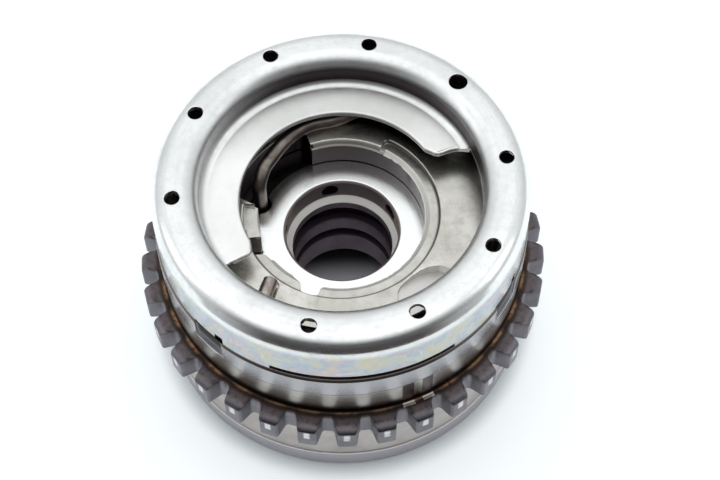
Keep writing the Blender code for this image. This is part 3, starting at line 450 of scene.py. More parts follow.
def faded_felt(name, piece, axis, dark_at, pale_at, pale, depth=0.0):
    """Dress a piece in felt that fades to a pale colour along one axis, given in metres."""
    global tree
    made = felt.copy()
    made.name = name
    tree = made.node_tree
    into = tree.nodes["Principled BSDF"].inputs["Base Color"]
    dark = into.links[0].from_socket
    if depth:
        dark = blend_colour(depth, dark, (0.0, 0.0, 0.0))
    along = axes(add("TexCoord").outputs["Object"])[axis]
    if axis == 0:
        along = calc("ABSOLUTE", along)
    wire(blend_colour(ramp(along, dark_at, pale_at), dark, pale), into)
    piece.data.materials.append(made)


bpy.ops.object.select_all(action="DESELECT")
bpy.ops.mesh.primitive_cylinder_add(vertices=96, radius=CARD_R, depth=CARD_HEIGHT,
                                    end_fill_type="NOTHING",
                                    location=(0.0, 0.0, CARD_HEIGHT / 2.0 + FLOOR_LEVEL))
card = bpy.context.object
card.name = "dark_card"
bpy.ops.object.mode_set(mode="EDIT")
bpy.ops.mesh.select_all(action="DESELECT")
shape = bmesh.from_edit_mesh(card.data)
for face in shape.faces:
    middle = face.calc_center_median()
    face.select = abs(math.degrees(math.atan2(middle.x, -middle.y))) > CARD_REACH
bmesh.update_edit_mesh(card.data)
bpy.ops.mesh.delete(type="FACE")
bpy.ops.object.mode_set(mode="OBJECT")
card.visible_camera = False
faded_felt("pale_ended_felt", card, 0, 0.50 * CARD_R, 0.88 * CARD_R, (0.80, 0.80, 0.80))

# Painted shadow: a dark felt pad under the bore darkens the paper seen through it.
bpy.ops.object.select_all(action="DESELECT")
bpy.ops.mesh.primitive_cylinder_add(vertices=64, radius=0.018, depth=0.00006,
                                    location=(0.0, 0.0, -0.00006))
shadow_pad = bpy.context.object
shadow_pad.name = "painted_shadow_pad"
faded_felt("faded_felt", shadow_pad, 1, 0.0145, 0.0055, (0.90, 0.90, 0.96), depth=0.6)

# %% [markdown]
# Two soft lamps, one on each side, add a little direction to the shadow.


# %% Lamps
def softbox(name, place, aim, size, watts):
    """A square lamp that points at a spot, all in metres."""
    light = bpy.data.lights.new(name, "AREA")
    light.shape = "RECTANGLE"
    light.size, light.size_y = size
    light.energy = watts
    lamp = bpy.data.objects.new(name, light)
    bpy.context.scene.collection.objects.link(lamp)
    lamp.location = place
    lamp.rotation_euler = (Vector(aim) - Vector(place)).to_track_quat("-Z", "Y").to_euler()


softbox("softbox_left", (-0.60, 0.05, 0.42), (0.0, 0.0, 0.03), (0.30, 0.40), 0.25)
softbox("softbox_right", (0.62, -0.05, 0.45), (0.0, 0.0, 0.03), (0.30, 0.40), 0.25)

# %% [markdown]
# ## Shared effects
#
# Several finishes need to know how far from the axis they are, how high, and at which angle.
# Others share scratches or cloudy stains. Each such effect is a node group, built once, that
# puts out masks. The finishes mix their own colours with them.


# %% Node groups
NOWHERE = (0.0, 0.0, 0.0)
ARC_STRETCH = 9.0
HAIR_ANGLES, HAIR_SCALE = (0.3, 1.4, 2.35), (90.0, 2600.0, 300.0)


def group(name, inputs, outputs):
    """Open an empty shader group with number sockets, and vectors where a tuple is given."""
    global tree
    tree = bpy.data.node_groups.new(name, "ShaderNodeTree")
    for label, value in inputs.items():
        kind = "NodeSocketVector" if isinstance(value, tuple) else "NodeSocketFloat"
        socket = tree.interface.new_socket(label, in_out="INPUT", socket_type=kind)
        if kind == "NodeSocketFloat":
            socket.default_value = value
    for label in outputs:
        tree.interface.new_socket(label, in_out="OUTPUT", socket_type="NodeSocketFloat")
    return tree, tree.nodes.new("NodeGroupInput").outputs


def give(**results):
    """Hand values out of the group that is open."""
    given = tree.nodes.new("NodeGroupOutput")
    for label, value in results.items():
        wire(value, given.inputs[label])


where, taken = group("where_on_the_part", {"Vector": NOWHERE}, ("Radius", "Angle", "Height"))
x, y, z = axes(taken["Vector"])
give(Radius=both(calc("SQRT", total(both(x, x), both(y, y))), 1.0 / MM),
     Angle=both(calc("ARCTAN2", y, x), DEGREES), Height=both(z, 1.0 / MM))

cloud, taken = group("cloudy_stain", {"Vector": NOWHERE, "Size": 8.0, "Low": 0.4, "High": 0.65},
                     ("Mask", "Soft"))
scale = calc("DIVIDE", 1.0 / MM, taken["Size"])
soft = add("TexNoise", {"Detail": 6.0, "Roughness": 0.6, "Vector": taken["Vector"],
                        "Scale": scale}).outputs[0]
give(Mask=ramp(soft, taken["Low"], taken["High"]), Soft=soft)

grain, taken = group("powder_grain", {"Vector": NOWHERE, "Size": 0.35}, ("Height", "Pores"))
at = {"Vector": taken["Vector"], "Scale": calc("DIVIDE", 1.0 / MM, taken["Size"])}
noise = add("TexNoise", {"Detail": 3.0, "Roughness": 0.7, **at})
cells = add("TexVoronoi", at, feature="F1")
give(Height=noise.outputs[0], Pores=ramp(cells.outputs["Distance"], 0.32, 0.12))

lathe, taken = group("turning_marks", {"Along": 0.0, "Pitch": 0.25}, ("Height",))
turns = calc("DIVIDE", taken["Along"], taken["Pitch"])
uneven = add("TexNoise", {"Detail": 2.0, "Scale": 1.0, "W": turns}, noise_dimensions="1D")
give(Height=total(both(calc("SINE", both(turns, math.tau)), 0.3), uneven.outputs[0]))

brushed, taken = group("brushed_round", {"Radius": 0.0, "Angle": 0.0, "Height": 0.0, "Pitch": 0.4},
                       ("Streaks",))
round_way = add("CombineXYZ", {0: calc("DIVIDE", taken["Angle"], ARC_STRETCH),
                               1: calc("DIVIDE", taken["Radius"], taken["Pitch"]),
                               2: calc("DIVIDE", taken["Height"], taken["Pitch"])})
noise = add("TexNoise", {"Scale": 1.0, "Detail": 4.0, "Roughness": 0.6,
                         "Vector": round_way.outputs[0]})
give(Streaks=noise.outputs[0])

scratch, taken = group("hair_scratches", {"Vector": NOWHERE, "Density": 0.5}, ("Mask",))
lines = []
for number, angle in enumerate(HAIR_ANGLES):
    lay = add("Mapping", {"Vector": taken["Vector"], "Rotation": (0.0, 0.0, angle),
                          "Scale": HAIR_SCALE})
    thin = add("TexNoise", {"Scale": 1.0, "Detail": 2.0, "Vector": lay.outputs[0]})
    lines.append(ramp(thin.outputs[0], 0.66 + 0.01 * number, 0.70 + 0.01 * number))
give(Mask=both(either(*lines), taken["Density"]))
print("shared effects:", [made.name for made in (where, cloud, grain, lathe, brushed, scratch)])

# %% [markdown]
# ## Finishes
#
# A finish is built as a painter would: a first colour, then coats over it, each through a mask
# that says where it lies. The helpers below start such a finish, lay the coats, and close it.


# %% Starting and closing a finish
def use(shared, vector=None, **values):
    """Place a shared group in the open tree with its own values."""
    if vector is not None:
        values["Vector"] = vector
    return add("Group", values, node_tree=shared).outputs


def finish(name, metallic=1.0):
    """A new material, whose tree is opened, and the point on the part."""
    global tree
    made = bpy.data.materials.new(name)
    made.use_nodes = True
    tree = made.node_tree
    tree.nodes["Principled BSDF"].inputs["Metallic"].default_value = metallic
    return made, add("TexCoord").outputs["Object"]


def place(point):
    """Radius in millimetres, angle in degrees and height in millimetres of a point."""
    return use(where, point)[:]


def coats(colour, *layers):
    """Lay (mask, colour) coats over a first colour, the lowest first."""
    for mask, tint in layers:
        colour = blend_colour(mask, colour, tint)
    return colour


def close(colour, rough, relief, depth, strength):
    """Give the shader its colour, its roughness, and relief with a depth in millimetres."""
    shader = tree.nodes["Principled BSDF"]
    wire(colour, shader.inputs["Base Color"])
    wire(rough, shader.inputs["Roughness"])
    made = add("Bump", {"Distance": depth * MM, "Strength": strength, "Height": relief})
    wire(made.outputs[0], shader.inputs["Normal"])


def band(value, low, high, soft=0.15):
    """1 between two levels and 0 outside them."""
    return both((value, low - soft, low + soft), (value, high + soft, high - soft))


def distance(value, centre):
    """How far a value is from a centre."""
    return calc("ABSOLUTE", calc("SUBTRACT", value, centre))


def towards(angle, heading):
    """1 on the side of a heading in degrees, and -1 on the far side."""
    turned = calc("SUBTRACT", angle, heading)
    return calc("COSINE", both(turned, 1.0 / DEGREES))


# Near-black for dark joints, and for painted shade in the cover's windows.
JOINT_AND_SHADE_BLACK = (0.006, 0.005, 0.005)

# %% [markdown]
# Zinc-plated sheet is bright on the crown, with a faint oily rainbow on the skirt, which the
# passivating bath leaves: a colour ramp on soft noise. The well's wall is painted dark as shade,
# most at the back right, and a line of painted shade runs along its foot. The ledge is painted
# lighter, as lit, and darker at the back, as shaded.

# %% Zinc-plated sheet
zinc, point = finish("zinc_plated_sheet")
radius, angle, height = place(point)
stain = use(cloud, point, Size=14.0, Low=0.38, High=0.68)
fine = use(cloud, point, Size=1.6, Low=0.42, High=0.75)
streaks = use(brushed, Radius=radius, Angle=angle, Height=height, Pitch=0.5)["Streaks"]
hairs = use(scratch, point, Density=0.22)["Mask"]
rainbow = add("ValToRGB")
tints = ((0.36, (0.52, 0.49, 0.38)), (0.45, (0.48, 0.50, 0.48)), (0.52, (0.36, 0.44, 0.53)),
         (0.58, (0.52, 0.44, 0.46)), (0.66, (0.53, 0.50, 0.38)))
bands = rainbow.color_ramp.elements
while len(bands) < len(tints):
    bands.new(0.5)
for element, (position, tint) in zip(bands, tints):
    element.position = position
    element.color = (*tint, 1.0)
wire(use(cloud, point, Size=7.0)["Soft"], rainbow.inputs[0])

skirt = both((radius, 43.4, 44.2), (height, 57.5, 54.5), 0.9)
on_ledge = both((radius, 32.9, 32.3), (height, 53.2, 52.8))
# Painted shade: the ledge is darker at the back.
far_ledge_painted_shade = both(on_ledge, (towards(angle, 90.0), 0.3, 0.95, 0.0, 0.55))
# Painted shade: the well's wall is darkened, most at the back right, and a dark line runs along its
# foot.
well_wall_painted_shade = both((height, 59.6, 57.3), (height, 53.2, 54.2), (radius, 38.0, 36.4),
             (towards(angle, 60.0), -0.90, 0.75, 0.20, 1.0))
wall_foot_painted_shade = both((radius, 33.2, 33.35), (height, 53.4, 53.1), (radius, 36.0, 35.5))
sheet = blend_colour(stain["Mask"], (0.87, 0.875, 0.87), (0.78, 0.785, 0.785))
# Painted light: the ledge's colour is a lighter copy of the sheet, as lit.
ledge = blend_colour(stain["Mask"], (0.92, 0.92, 0.90), (0.85, 0.85, 0.825))
colour = coats(
    sheet,
    (both(fine["Mask"], 0.22), (0.58, 0.58, 0.59)),
    (ramp(streaks, 0.5, 0.75, 0.0, 0.25), (0.60, 0.62, 0.64)),
    (skirt, rainbow.outputs[0]),
    (on_ledge, ledge),
    (far_ledge_painted_shade, (0.56, 0.565, 0.54)),
    (hairs, (0.86, 0.88, 0.89)),
    (either(well_wall_painted_shade, wall_foot_painted_shade), (0.055, 0.042, 0.048)))
rough = total((fine["Soft"], 0.3, 0.7, 0.15, 0.25), both(stain["Mask"], 0.04),
              both((radius, 39.0, 38.2), 0.16))
relief = total(use(cloud, point, Size=0.45)["Soft"], both(streaks, 1.5))
close(colour, rough, relief, 0.008, 0.6)

# %% [markdown]
# Sintered steel is pressed powder, baked hard: matte and beige-grey, with tiny pores. Its ground
# rim is smooth and bluish. The slot, the opening's wall, the step's edge and the shadow under the
# C are painted dark as shade, and so are the flange's top and chamfer in the gap under the cap's
# skirt. The windows are painted nearly black as shade, as paler metal would mirror the tent; the
# seam is a dark joint. A painted highlight runs along the rear disc's top edge.

# %% Sintered cover
sinter, point = finish("sintered_cover")
radius, angle, height = place(point)
stain = use(cloud, point, Size=11.0, Low=0.36, High=0.66)
pores = use(grain, point, Size=0.30)
blotch = use(cloud, point, Size=2.6, Low=0.45, High=0.72)

in_rebate = both((radius, 23.55, 23.4), (height, 45.9, 45.6), 0.35)
slot_top = ramp(angle, 168.5, 170.0, 45.95, 45.0)
# Painted shade: the slot, the opening's wall, the step's edge and the shadow under the C.
slot_painted_shade = both(band(angle, 108.5, 177.0, 0.5), (radius, 26.5, 26.2),
               (calc("SUBTRACT", height, slot_top), 0.0, -0.3))
opening_wall_painted_shade = both((radius, 20.45, 20.3), (height, 44.3, 43.9))
step_edge_painted_shade = both(band(radius, 23.15, 23.80, 0.22), (distance(angle, -55.0), 116.0, 115.0), 0.8)
x, y = axes(point)[:2]
to_back = both(total(y, both(x, 0.44)), 1.0 / MM)
painted_shadow_under_c = both((to_back, 22.0, 27.5), (radius, 23.9, 26.3, 0.0, 0.94),
               (height, COVER_TOP - 0.6, COVER_TOP - 0.3))
pocket = both(band(angle, -64.5, -33.0, 0.3), (height, 45.75, 45.6), (radius, 24.0, 24.3),
              (radius, 34.5, 34.0))
rear = ramp(height, REAR_TOP + 2.0, REAR_TOP + 1.0)
# Painted highlight: a light line along the rear disc's top edge.
rear_edge_painted_highlight = both(rear, (height, REAR_TOP - 0.3, REAR_TOP - 0.1))
front = opposite(rear)
rim = both((radius, 43.2, 43.4), (height, 44.62, 44.5), front)
# Painted shade: the flange's top and chamfer in the gap under the cap's skirt are darkened.
chamfer_painted_shade = both((radius, 42.6, 42.9), opposite(rim), front)
seam = both(rim, (height, COVER_LOW + 0.50, COVER_LOW + 0.35))
windows = both(either(band(angle, -141.6, -128.8, 0.2), band(angle, -38.6, -25.4, 0.2)),
               band(radius, 43.6, 44.3, 0.1))
# Painted shade: the windows are near-black.
windows_painted_shade = both(windows, (height, COVER_LOW + 2.2, COVER_LOW + 5.4, 0.5, 1.0))
lip_zone = both((radius, 21.4, 21.2), band(height, 44.1, 45.03, 0.04))
disc = blend_colour(stain["Mask"], (0.70, 0.685, 0.635), (0.54, 0.52, 0.475))
lilac = blend_colour(stain["Mask"], (0.54, 0.49, 0.47), (0.43, 0.385, 0.37))
lilac = blend_colour(ramp(radius, 45.6, 45.8), lilac, (0.43, 0.405, 0.445))
colour = coats(
    disc,
    (both(blotch["Mask"], 0.45), (0.36, 0.34, 0.31)),
    (in_rebate, (0.44, 0.425, 0.40)),
    # painted shade in the slot, on the opening's wall, along the step's edge and under the C
    (either(slot_painted_shade, opening_wall_painted_shade, step_edge_painted_shade, painted_shadow_under_c), (0.05, 0.04, 0.042)),
    (both(pores["Pores"], 0.35), (0.16, 0.15, 0.14)),
    (both(pocket, 0.85), (0.93, 0.915, 0.89)),
    (rear, lilac),
    (rear_edge_painted_highlight, (0.74, 0.70, 0.69)),
    (chamfer_painted_shade, (0.20, 0.175, 0.165)),
    (rim, (0.41, 0.405, 0.425)),
    (either(seam, windows_painted_shade), JOINT_AND_SHADE_BLACK),
    (lip_zone, (0.86, 0.84, 0.79)))
rough = total(0.22, both(stain["Soft"], 0.14), both(rim, -0.06), both(lip_zone, 0.35),
              both(either(pocket, windows, rear_edge_painted_highlight), 0.3))
ground_marks = use(lathe, Along=height, Pitch=0.12)["Height"]
relief = total(pores["Height"], both(ground_marks, rim, 0.3))
close(colour, rough, relief, 0.020, 0.7)

# %% [markdown]
# The drum is grey-beige and the hardened teeth are dark. Their tops are painted lighter towards
# the tip, as a highlight on the rounded shoulder. Behind each tooth is an amber arc, such as heat
# leaves. The chain has worn the tips bright, and painted glints lie on them as well. Two dark bars
# are the timing marks.

# %% Sprocket and drum
TEETH, TOOTH_AT = 33, -90.33

steel, point = finish("hardened_sprocket")
radius, angle, height = place(point)
stain = use(cloud, point, Size=7.0, Low=0.35, High=0.68)
pores = use(grain, point, Size=0.35)
fine = use(cloud, point, Size=1.3, Low=0.4, High=0.75)

drum = blend_colour(stain["Mask"], (0.50, 0.47, 0.44), (0.36, 0.33, 0.31))
low_drum = blend_colour(stain["Mask"], (0.49, 0.455, 0.435), (0.385, 0.355, 0.34))
drum = blend_colour(ramp(height, 21.5, 20.0), drum, low_drum)
flanks = blend_colour(stain["Mask"], (0.18, 0.17, 0.19), (0.125, 0.118, 0.135))
tops = blend_colour(fine["Mask"], (0.115, 0.095, 0.10), (0.065, 0.055, 0.06))
# Painted highlight: the tooth tops grow lighter towards the tip.
tops = blend_colour(ramp(radius, 47.8, 49.6, 0.0, 0.6), tops, (0.19, 0.175, 0.195))
teeth = blend_colour(ramp(height, 27.5, 28.45), flanks, tops)
on_teeth = ramp(radius, 45.65, 45.95)
step = both(calc("SUBTRACT", angle, TOOTH_AT), TEETH / 360.0)
off_tooth = distance(calc("FRACT", total(step, TEETH + 0.5)), 0.5)
corner = both((radius, 43.7, 44.3), (radius, 47.0, 45.6), (height, 27.2, 28.2),
              (height, 32.6, 29.4))
heat = both(band(radius, 44.8, 45.5, 0.4), band(height, 28.0, 29.5, 0.4), (off_tooth, 0.40, 0.14),
            (fine["Soft"], 0.30, 0.58), (distance(angle, -90.0), 12.0, 60.0, 0.35, 0.75))
# Worn tips, with painted glints on them.
wear_and_painted_glint = both((radius, 49.98, 50.1), band(height, 24.3, 27.2, 0.3), (off_tooth, 0.10, 0.05),
            (fine["Soft"], 0.25, 0.50))
bars = either(band(angle, -73.1, -69.4, 0.12), band(angle, -66.7, -63.1, 0.12))
on_drum = both(bars, (height, 29.4, 29.7), (radius, 45.0, 44.8), 0.94)
lands = both(bars, band(height, 28.2, 28.95, 0.06), band(radius, 44.85, 45.9, 0.06), 0.9)
seam = both((height, DRUM_TOP - 0.26, DRUM_TOP - 0.16), (radius, 43.9, 44.1))
colour = coats(
    blend_colour(on_teeth, drum, teeth),
    (corner, (0.030, 0.021, 0.018)),
    (heat, (0.30, 0.175, 0.09)),
    (wear_and_painted_glint, (0.66, 0.66, 0.68)),
    (on_drum, (0.085, 0.062, 0.056)),
    (lands, (0.44, 0.39, 0.37)),
    (both(pores["Pores"], 0.22), (0.06, 0.055, 0.05)),
    (seam, JOINT_AND_SHADE_BLACK))
rough = total(0.27, both(fine["Soft"], 0.14), both(on_teeth, 0.02))
close(colour, rough, pores["Height"], 0.018, 0.7)

# %% [markdown]
# The rotor is turned and ground. Fine rings run round its bore and across its face. The bore's
# inside is dull grey-brown, lighter and browner near its mouth. Its grooves, its deep parts and
# the back of its mouth are painted dark as shade, and so is the hub beyond the ground face, under
# the cover.

# %% Ground rotor
ground, point = finish("ground_rotor")
radius, angle, height = place(point)
stain = use(cloud, point, Size=6.0, Low=0.35, High=0.7)

face = ramp(height, 37.30, 37.45)
inside = opposite(face)
near = ramp(radius, 16.0, 15.0)
# Painted shade: the grooves, the back wall of the upper bore, the deep parts and the hub beyond the
# ground face are darkened.
groove_painted_shade = both(band(radius, 12.45, 15.0, 0.05), (height, 29.9, 29.7))
upper_bore = both((height, 31.6, 31.8), near)
y = axes(point)[1]
backwards = calc("DIVIDE", both(y, 1.0 / MM), either(radius, 1.0))
back_wall_painted_shade = both(upper_bore, (backwards, 0.1, 0.9, 0.0, 0.75))
deep_painted_shade = both((radius, 13.95, 14.3), (height, 37.2, 36.9))
painted_shade_under_cover = ramp(radius, 20.5, 20.75)
ring = both(band(height, 30.15, 31.65, 0.08), near)
metal = blend_colour(stain["Mask"], (0.40, 0.345, 0.385), (0.32, 0.275, 0.31))
# The upper bore is lighter and browner than the bore below it.
mouth_tone = blend_colour(stain["Mask"], (0.60, 0.52, 0.48), (0.48, 0.40, 0.38))
colour = coats(
    metal,
    (groove_painted_shade, (0.045, 0.03, 0.042)),
    (upper_bore, mouth_tone),
    (back_wall_painted_shade, (0.24, 0.195, 0.21)),
    (deep_painted_shade, (0.05, 0.04, 0.045)),
    (both(painted_shade_under_cover, 0.8), (0.10, 0.085, 0.085)),
    (both(face, opposite(painted_shade_under_cover)), (0.88, 0.88, 0.875)),
    (ring, (1.0, 0.985, 0.95)))
rough = total(0.13, both(inside, 0.32), both(ring, 0.2), both(stain["Soft"], 0.1))
across = use(lathe, Along=radius, Pitch=0.16)["Height"]
down = use(lathe, Along=height, Pitch=0.22)["Height"]
relief = total(both(across, face), both(down, inside))
close(colour, rough, relief, 0.006, 0.6)

# %% [markdown]
# Spring wire is drawn through a die and tempered in oil, so it is dark, with fine lines along it.
# They follow the wire's own UV map. The tang is painted paler, as the lit part of the wire, and
# the rest is dark from the oil and also as painted shade under the ledge.

# %% Oil-tempered spring wire
oiled, point = finish("oil_tempered_wire")
angle = place(point)[1]
stain = use(cloud, point, Size=5.0, Low=0.35, High=0.7)
stretch = add("Mapping", {"Scale": (60.0, 3.0, 1.0), "Vector": add("UVMap").outputs[0]})
lines = add("TexNoise", {"Scale": 1.0, "Detail": 3.0, "Vector": stretch.outputs[0]}).outputs[0]
# Dark from oil tempering, and also painted shade for the arm under the ledge.
dark = blend_colour(stain["Mask"], (0.19, 0.16, 0.145), (0.12, 0.10, 0.09))
# Painted light: the tang is paler, as the lit part of the wire.
tang_painted_light = blend_colour(ramp(lines, 0.42, 0.60), (0.30, 0.255, 0.225), (0.56, 0.51, 0.47))
colour = coats(
    dark,
    (ramp(lines, 0.5, 0.72, 0.0, 0.6), (0.34, 0.30, 0.27)),
    (band(angle, -139.0, -117.0, 2.0), tang_painted_light))
close(colour, total(0.26, both(lines, 0.25)), lines, 0.02, 0.6)

# %% [markdown]
# The small steel parts are bright, and the seals and the lock's plug are dark, dull plastic. Both
# finishes only vary a little, since little of them is ever seen.

# %% Small steel parts and seals
bright, point = finish("bright_steel")
stain = use(cloud, point, Size=1.6, Low=0.35, High=0.7)
close(blend_colour(stain["Mask"], (0.52, 0.52, 0.53), (0.42, 0.42, 0.43)),
      ramp(stain["Soft"], 0.3, 0.7, 0.22, 0.36),
      use(cloud, point, Size=0.3)["Soft"], 0.01, 0.4)

seal_plastic, point = finish("seal_plastic", metallic=0.0)
stain = use(cloud, point, Size=1.2, Low=0.4, High=0.7)
close(blend_colour(stain["Mask"], (0.07, 0.06, 0.05), (0.10, 0.085, 0.07)),
      ramp(stain["Soft"], 0.3, 0.7, 0.4, 0.55), stain["Soft"], 0.01, 0.4)


# %% [markdown]
# ## The stamped cap
#
# One sheet of steel, 1.2 mm thick, is drawn into a channel: a skirt outside, a rounded crown,
# and a well wall inside. At the foot of the well a ledge turns inwards and forms a letter C that
# holds the spring's arm down. The whole section is spun, and the openings are cut afterwards.

# %% Cap
OUT_ROUND, IN_ROUND, ROOT, BURR = 4.3, 4.0, 2.0, 0.15
CAP_R, WELL_R, LEDGE_R = 44.4, 33.5, 24.0
crown_out = (CAP_R - OUT_ROUND, CAP_TOP - OUT_ROUND)
crown_in = (WELL_R + IN_ROUND, CAP_TOP - IN_ROUND)
well_foot = (WELL_R - ROOT, LEDGE_TOP + ROOT)
section = [(CAP_R - BURR, CAP_RIM), (CAP_R, CAP_RIM + BURR)]
section += arc(OUT_ROUND, 0.0, 90.0, 12, crown_out)
section += arc(IN_ROUND, 90.0, 180.0, 12, crown_in)
section += arc(ROOT, 0.0, -90.0, 8, well_foot)
section += [(LEDGE_R, LEDGE_TOP), (LEDGE_R, LEDGE_TOP - SHEET + BURR),
            (LEDGE_R + BURR, LEDGE_TOP - SHEET)]
section += arc(ROOT + SHEET, -90.0, 0.0, 5, well_foot)
section += arc(IN_ROUND - SHEET, 180.0, 90.0, 8, crown_in)
section += arc(OUT_ROUND - SHEET, 90.0, 0.0, 8, crown_out)
section += [(CAP_R - SHEET, CAP_RIM + BURR), (CAP_R - SHEET + BURR, CAP_RIM)]
cap = turn("cap_sheet", section, 300)

# %% [markdown]
# The open side of the C is one outline with rounded corners, and the wall below the ledge is cut
# away behind it. The crown has ten places for holes: one stays blank and one hole is larger. The
# rim has a long, low relief in front, and beside it two windows, each with a higher nick.

# %% Openings of the cap
C_START, C_END = 20.5, -147.0
C_TIP = 57.0
HOLE_PLACES, BLANK_PLACE, BIG_PLACE = 10, 6, 1
HOLE_R, BIG_HOLE_R, HOLE_RING, FIRST_HOLE = 1.8, 2.25, 39.15, 6.36
RIM_CUTS = ((-113.0, -56.0, 1.5), (-141.0, -130.4, 0.8), (-132.1, -129.2, 2.6),
            (-38.0, -27.2, 0.8), (-28.5, -25.8, 2.6))


def sharp(points):
    """Corners of an outline that aren't rounded."""
    return [(x, y, 0.0) for x, y in points]


gap = sharp(arc(WELL_R - 0.05, C_END, C_START, 60))
gap += [(28.4, 12.8, 5.0), (23.3, 11.0, 2.2), (19.4, 13.3, 3.0), (17.1, 17.2, 5.0)]
gap += sharp([polar(LEDGE_R - 0.8, C_TIP)] + arc(LEDGE_R - 2.0, C_TIP, C_END - 10.0, 24))
gap += [(*polar(LEDGE_R - 0.3, C_END - 8.0), 3.0), (*polar(LEDGE_R + 1.4, C_END + 2.3), 2.3)]
openings = [raise_up("cut_c", rounded(gap), LEDGE_TOP - 5.0, LEDGE_TOP + ROOT + 0.2)]
low_wall = arc(WELL_R - 3.0, C_END, C_START - 2.0, 40)
low_wall += arc(WELL_R + SHEET + 2.0, C_START - 2.0, C_END, 40)
openings.append(raise_up("cut_wall", low_wall, LEDGE_TOP - 5.0, LEDGE_TOP - 0.6))
for station in range(HOLE_PLACES):
    if station != BLANK_PLACE:
        size = BIG_HOLE_R if station == BIG_PLACE else HOLE_R
        spot = polar(HOLE_RING, FIRST_HOLE + 360.0 / HOLE_PLACES * station)
        openings.append(drill("cut_hole", size, CAP_TOP - 3.0, CAP_TOP + 2.0, spot, 40))
for start, end, height in RIM_CUTS:
    outline = arc(CAP_R - 3.0, start, end, 24) + arc(CAP_R + 3.0, end, start, 24)
    openings.append(raise_up("cut_rim", outline, CAP_RIM - 2.0, CAP_RIM + height))
combine(cap, openings)
round_edges(cap, lambda spot: abs(spot.z - LEDGE_TOP) < 0.001, 0.75, 5)
soften(cap, 0.16, 2, 50.0)
cap.data.materials.append(zinc)
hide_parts("spring_cap")
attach(cap, "housing")
print("cap:", triangles(cap), "triangles")

# %% [markdown]
# ## The front cover
#
# A pressed and sintered disc closes the oil chambers. Its middle is stepped, a slot lets the
# spring's foot through to the rotor, a straight groove holds the other end of the wire, and a
# kidney-shaped pocket with a sloping floor lies to the right of the front.

# %% Front cover
OPENING, REBATE, SPRING_SLOT = 20.2, 23.5, 26.05
RIM_R, SHOULDER_R = 44.8, 42.9
section = [(OPENING, COVER_LOW), (RIM_R - 0.2, COVER_LOW), (RIM_R, COVER_LOW + 0.2),
           (RIM_R, FLANGE - 0.55), (RIM_R - 0.55, FLANGE), (SHOULDER_R, FLANGE),
           (SHOULDER_R, COVER_TOP - 0.2), (SHOULDER_R - 0.2, COVER_TOP),
           (OPENING + 0.8, COVER_TOP), (OPENING, COVER_TOP - 0.8)]
cover = turn("cover_disc", section, 300)
REBATE_END = 173.0 - 360.0
rebate = arc(OPENING - 1.5, REBATE_END, 61.0, 60)
rebate += [polar(REBATE - 1.6, 61.0), polar(REBATE - 0.9, 60.6)]
rebate += [polar(REBATE - 0.35, 59.6), polar(REBATE - 0.08, 58.2)]
rebate += arc(REBATE, 56.5, REBATE_END, 70)
slot = sharp([polar(OPENING - 2.0, 110.0), polar(OPENING - 2.0, 177.0)])
slot += [(*polar(SPRING_SLOT, 168.0), 1.5)]
slot += sharp(arc(SPRING_SLOT, 159.0, 118.0, 20)) + [(*polar(SPRING_SLOT, 110.0), 2.0)]
combine(cover, [raise_up("cut_rebate", rebate, COVER_TOP - 0.9, COVER_TOP + 2.0)])
STEP_FROM, STEP_TO = 21.6, 23.8
round_edges(cover, lambda spot: abs(spot.z - COVER_TOP) < 0.001
            and STEP_FROM < spot.xy.length < STEP_TO, 0.5)
tools = [raise_up("cut_slot", rounded(slot), COVER_LOW - 2.0, COVER_TOP + 2.0)]
left_notch = [(-15.0, -5.6, 0.0), (-22.9, -6.1, 0.9), (-22.3, -8.2, 0.0), (-21.15, -10.75, 1.2),
              (-18.5, -10.7, 1.4), (-16.8, -12.2, 0.0), (-14.0, -10.0, 0.0)]
front_notch = [(-4.0, -18.4, 0.0), (-5.45, -20.4, 0.9), (-6.15, -22.85, 1.6), (-8.2, -22.25, 0.0),
               (-10.15, -21.45, 1.6), (-10.1, -18.7, 1.2), (-12.2, -15.8, 0.0), (-8.0, -14.0, 0.0)]
for corners in (left_notch, front_notch):
    tools.append(raise_up("cut_notch", rounded(corners), COVER_LOW - 2.0, COVER_TOP + 2.0))

# %% [markdown]
# A straight groove takes the spring's tang, and two flats lie under the cap's windows. Last, the
# opening's edge gets a chamfer, but not at the spring slot: a sector is cut out of the
# chamfering ring first.

# %% Tang groove, flats and chamfer
TANG_AT, TANG_TURN, TANG_R = -132.0, 24.0, 25.2
WIRE_R = 1.75


def slab(near, far, half, degrees):
    """Corners of a straight slot that runs outwards from the axis along a heading."""
    x, y = polar(1.0, degrees)
    return [(r * x - s * y, r * y + s * x)
            for r, s in ((near, -half), (far, -half), (far, half), (near, half))]


tang_start = Vector(polar(TANG_R, TANG_AT))
tang_way = Vector(polar(1.0, TANG_AT + TANG_TURN))
tang_side = Vector((-tang_way.y, tang_way.x)) * (WIRE_R + 0.3)
corners = []
for along, side, radius in ((-0.5, -1, 1.2), (11.5, -1, 0.0), (11.5, 1, 0.0), (-0.5, 1, 1.2)):
    corners.append((*(tang_start + tang_way * along + tang_side * side), radius))
tools.append(raise_up("cut_tang", rounded(corners), COVER_TOP - 1.1, COVER_TOP + 2.0))
for start, end in ((-141.0, -129.3), (-38.0, -26.0)):
    half = RIM_R * math.sin(math.radians((end - start) / 2.0)) * 0.96
    corners = slab(RIM_R - 0.7, RIM_R + 3.2, half, (start + end) / 2.0)
    tools.append(raise_up("cut_pry", corners, COVER_LOW + 1.6, COVER_TOP + 2.0))
combine(cover, tools)

lip = turn("cut_lip", [(OPENING - 3.0, FLANGE - 1.0), (OPENING, FLANGE - 1.0),
                       (OPENING + 1.05, FLANGE + 0.05), (OPENING - 3.0, FLANGE + 0.05)], 300)
spare = raise_up("spare", [(0.0, 0.0)] + arc(30.0, 58.0, 200.0, 16), FLANGE - 3.0, FLANGE + 3.0)
combine(lip, [spare])
combine(cover, [lip])

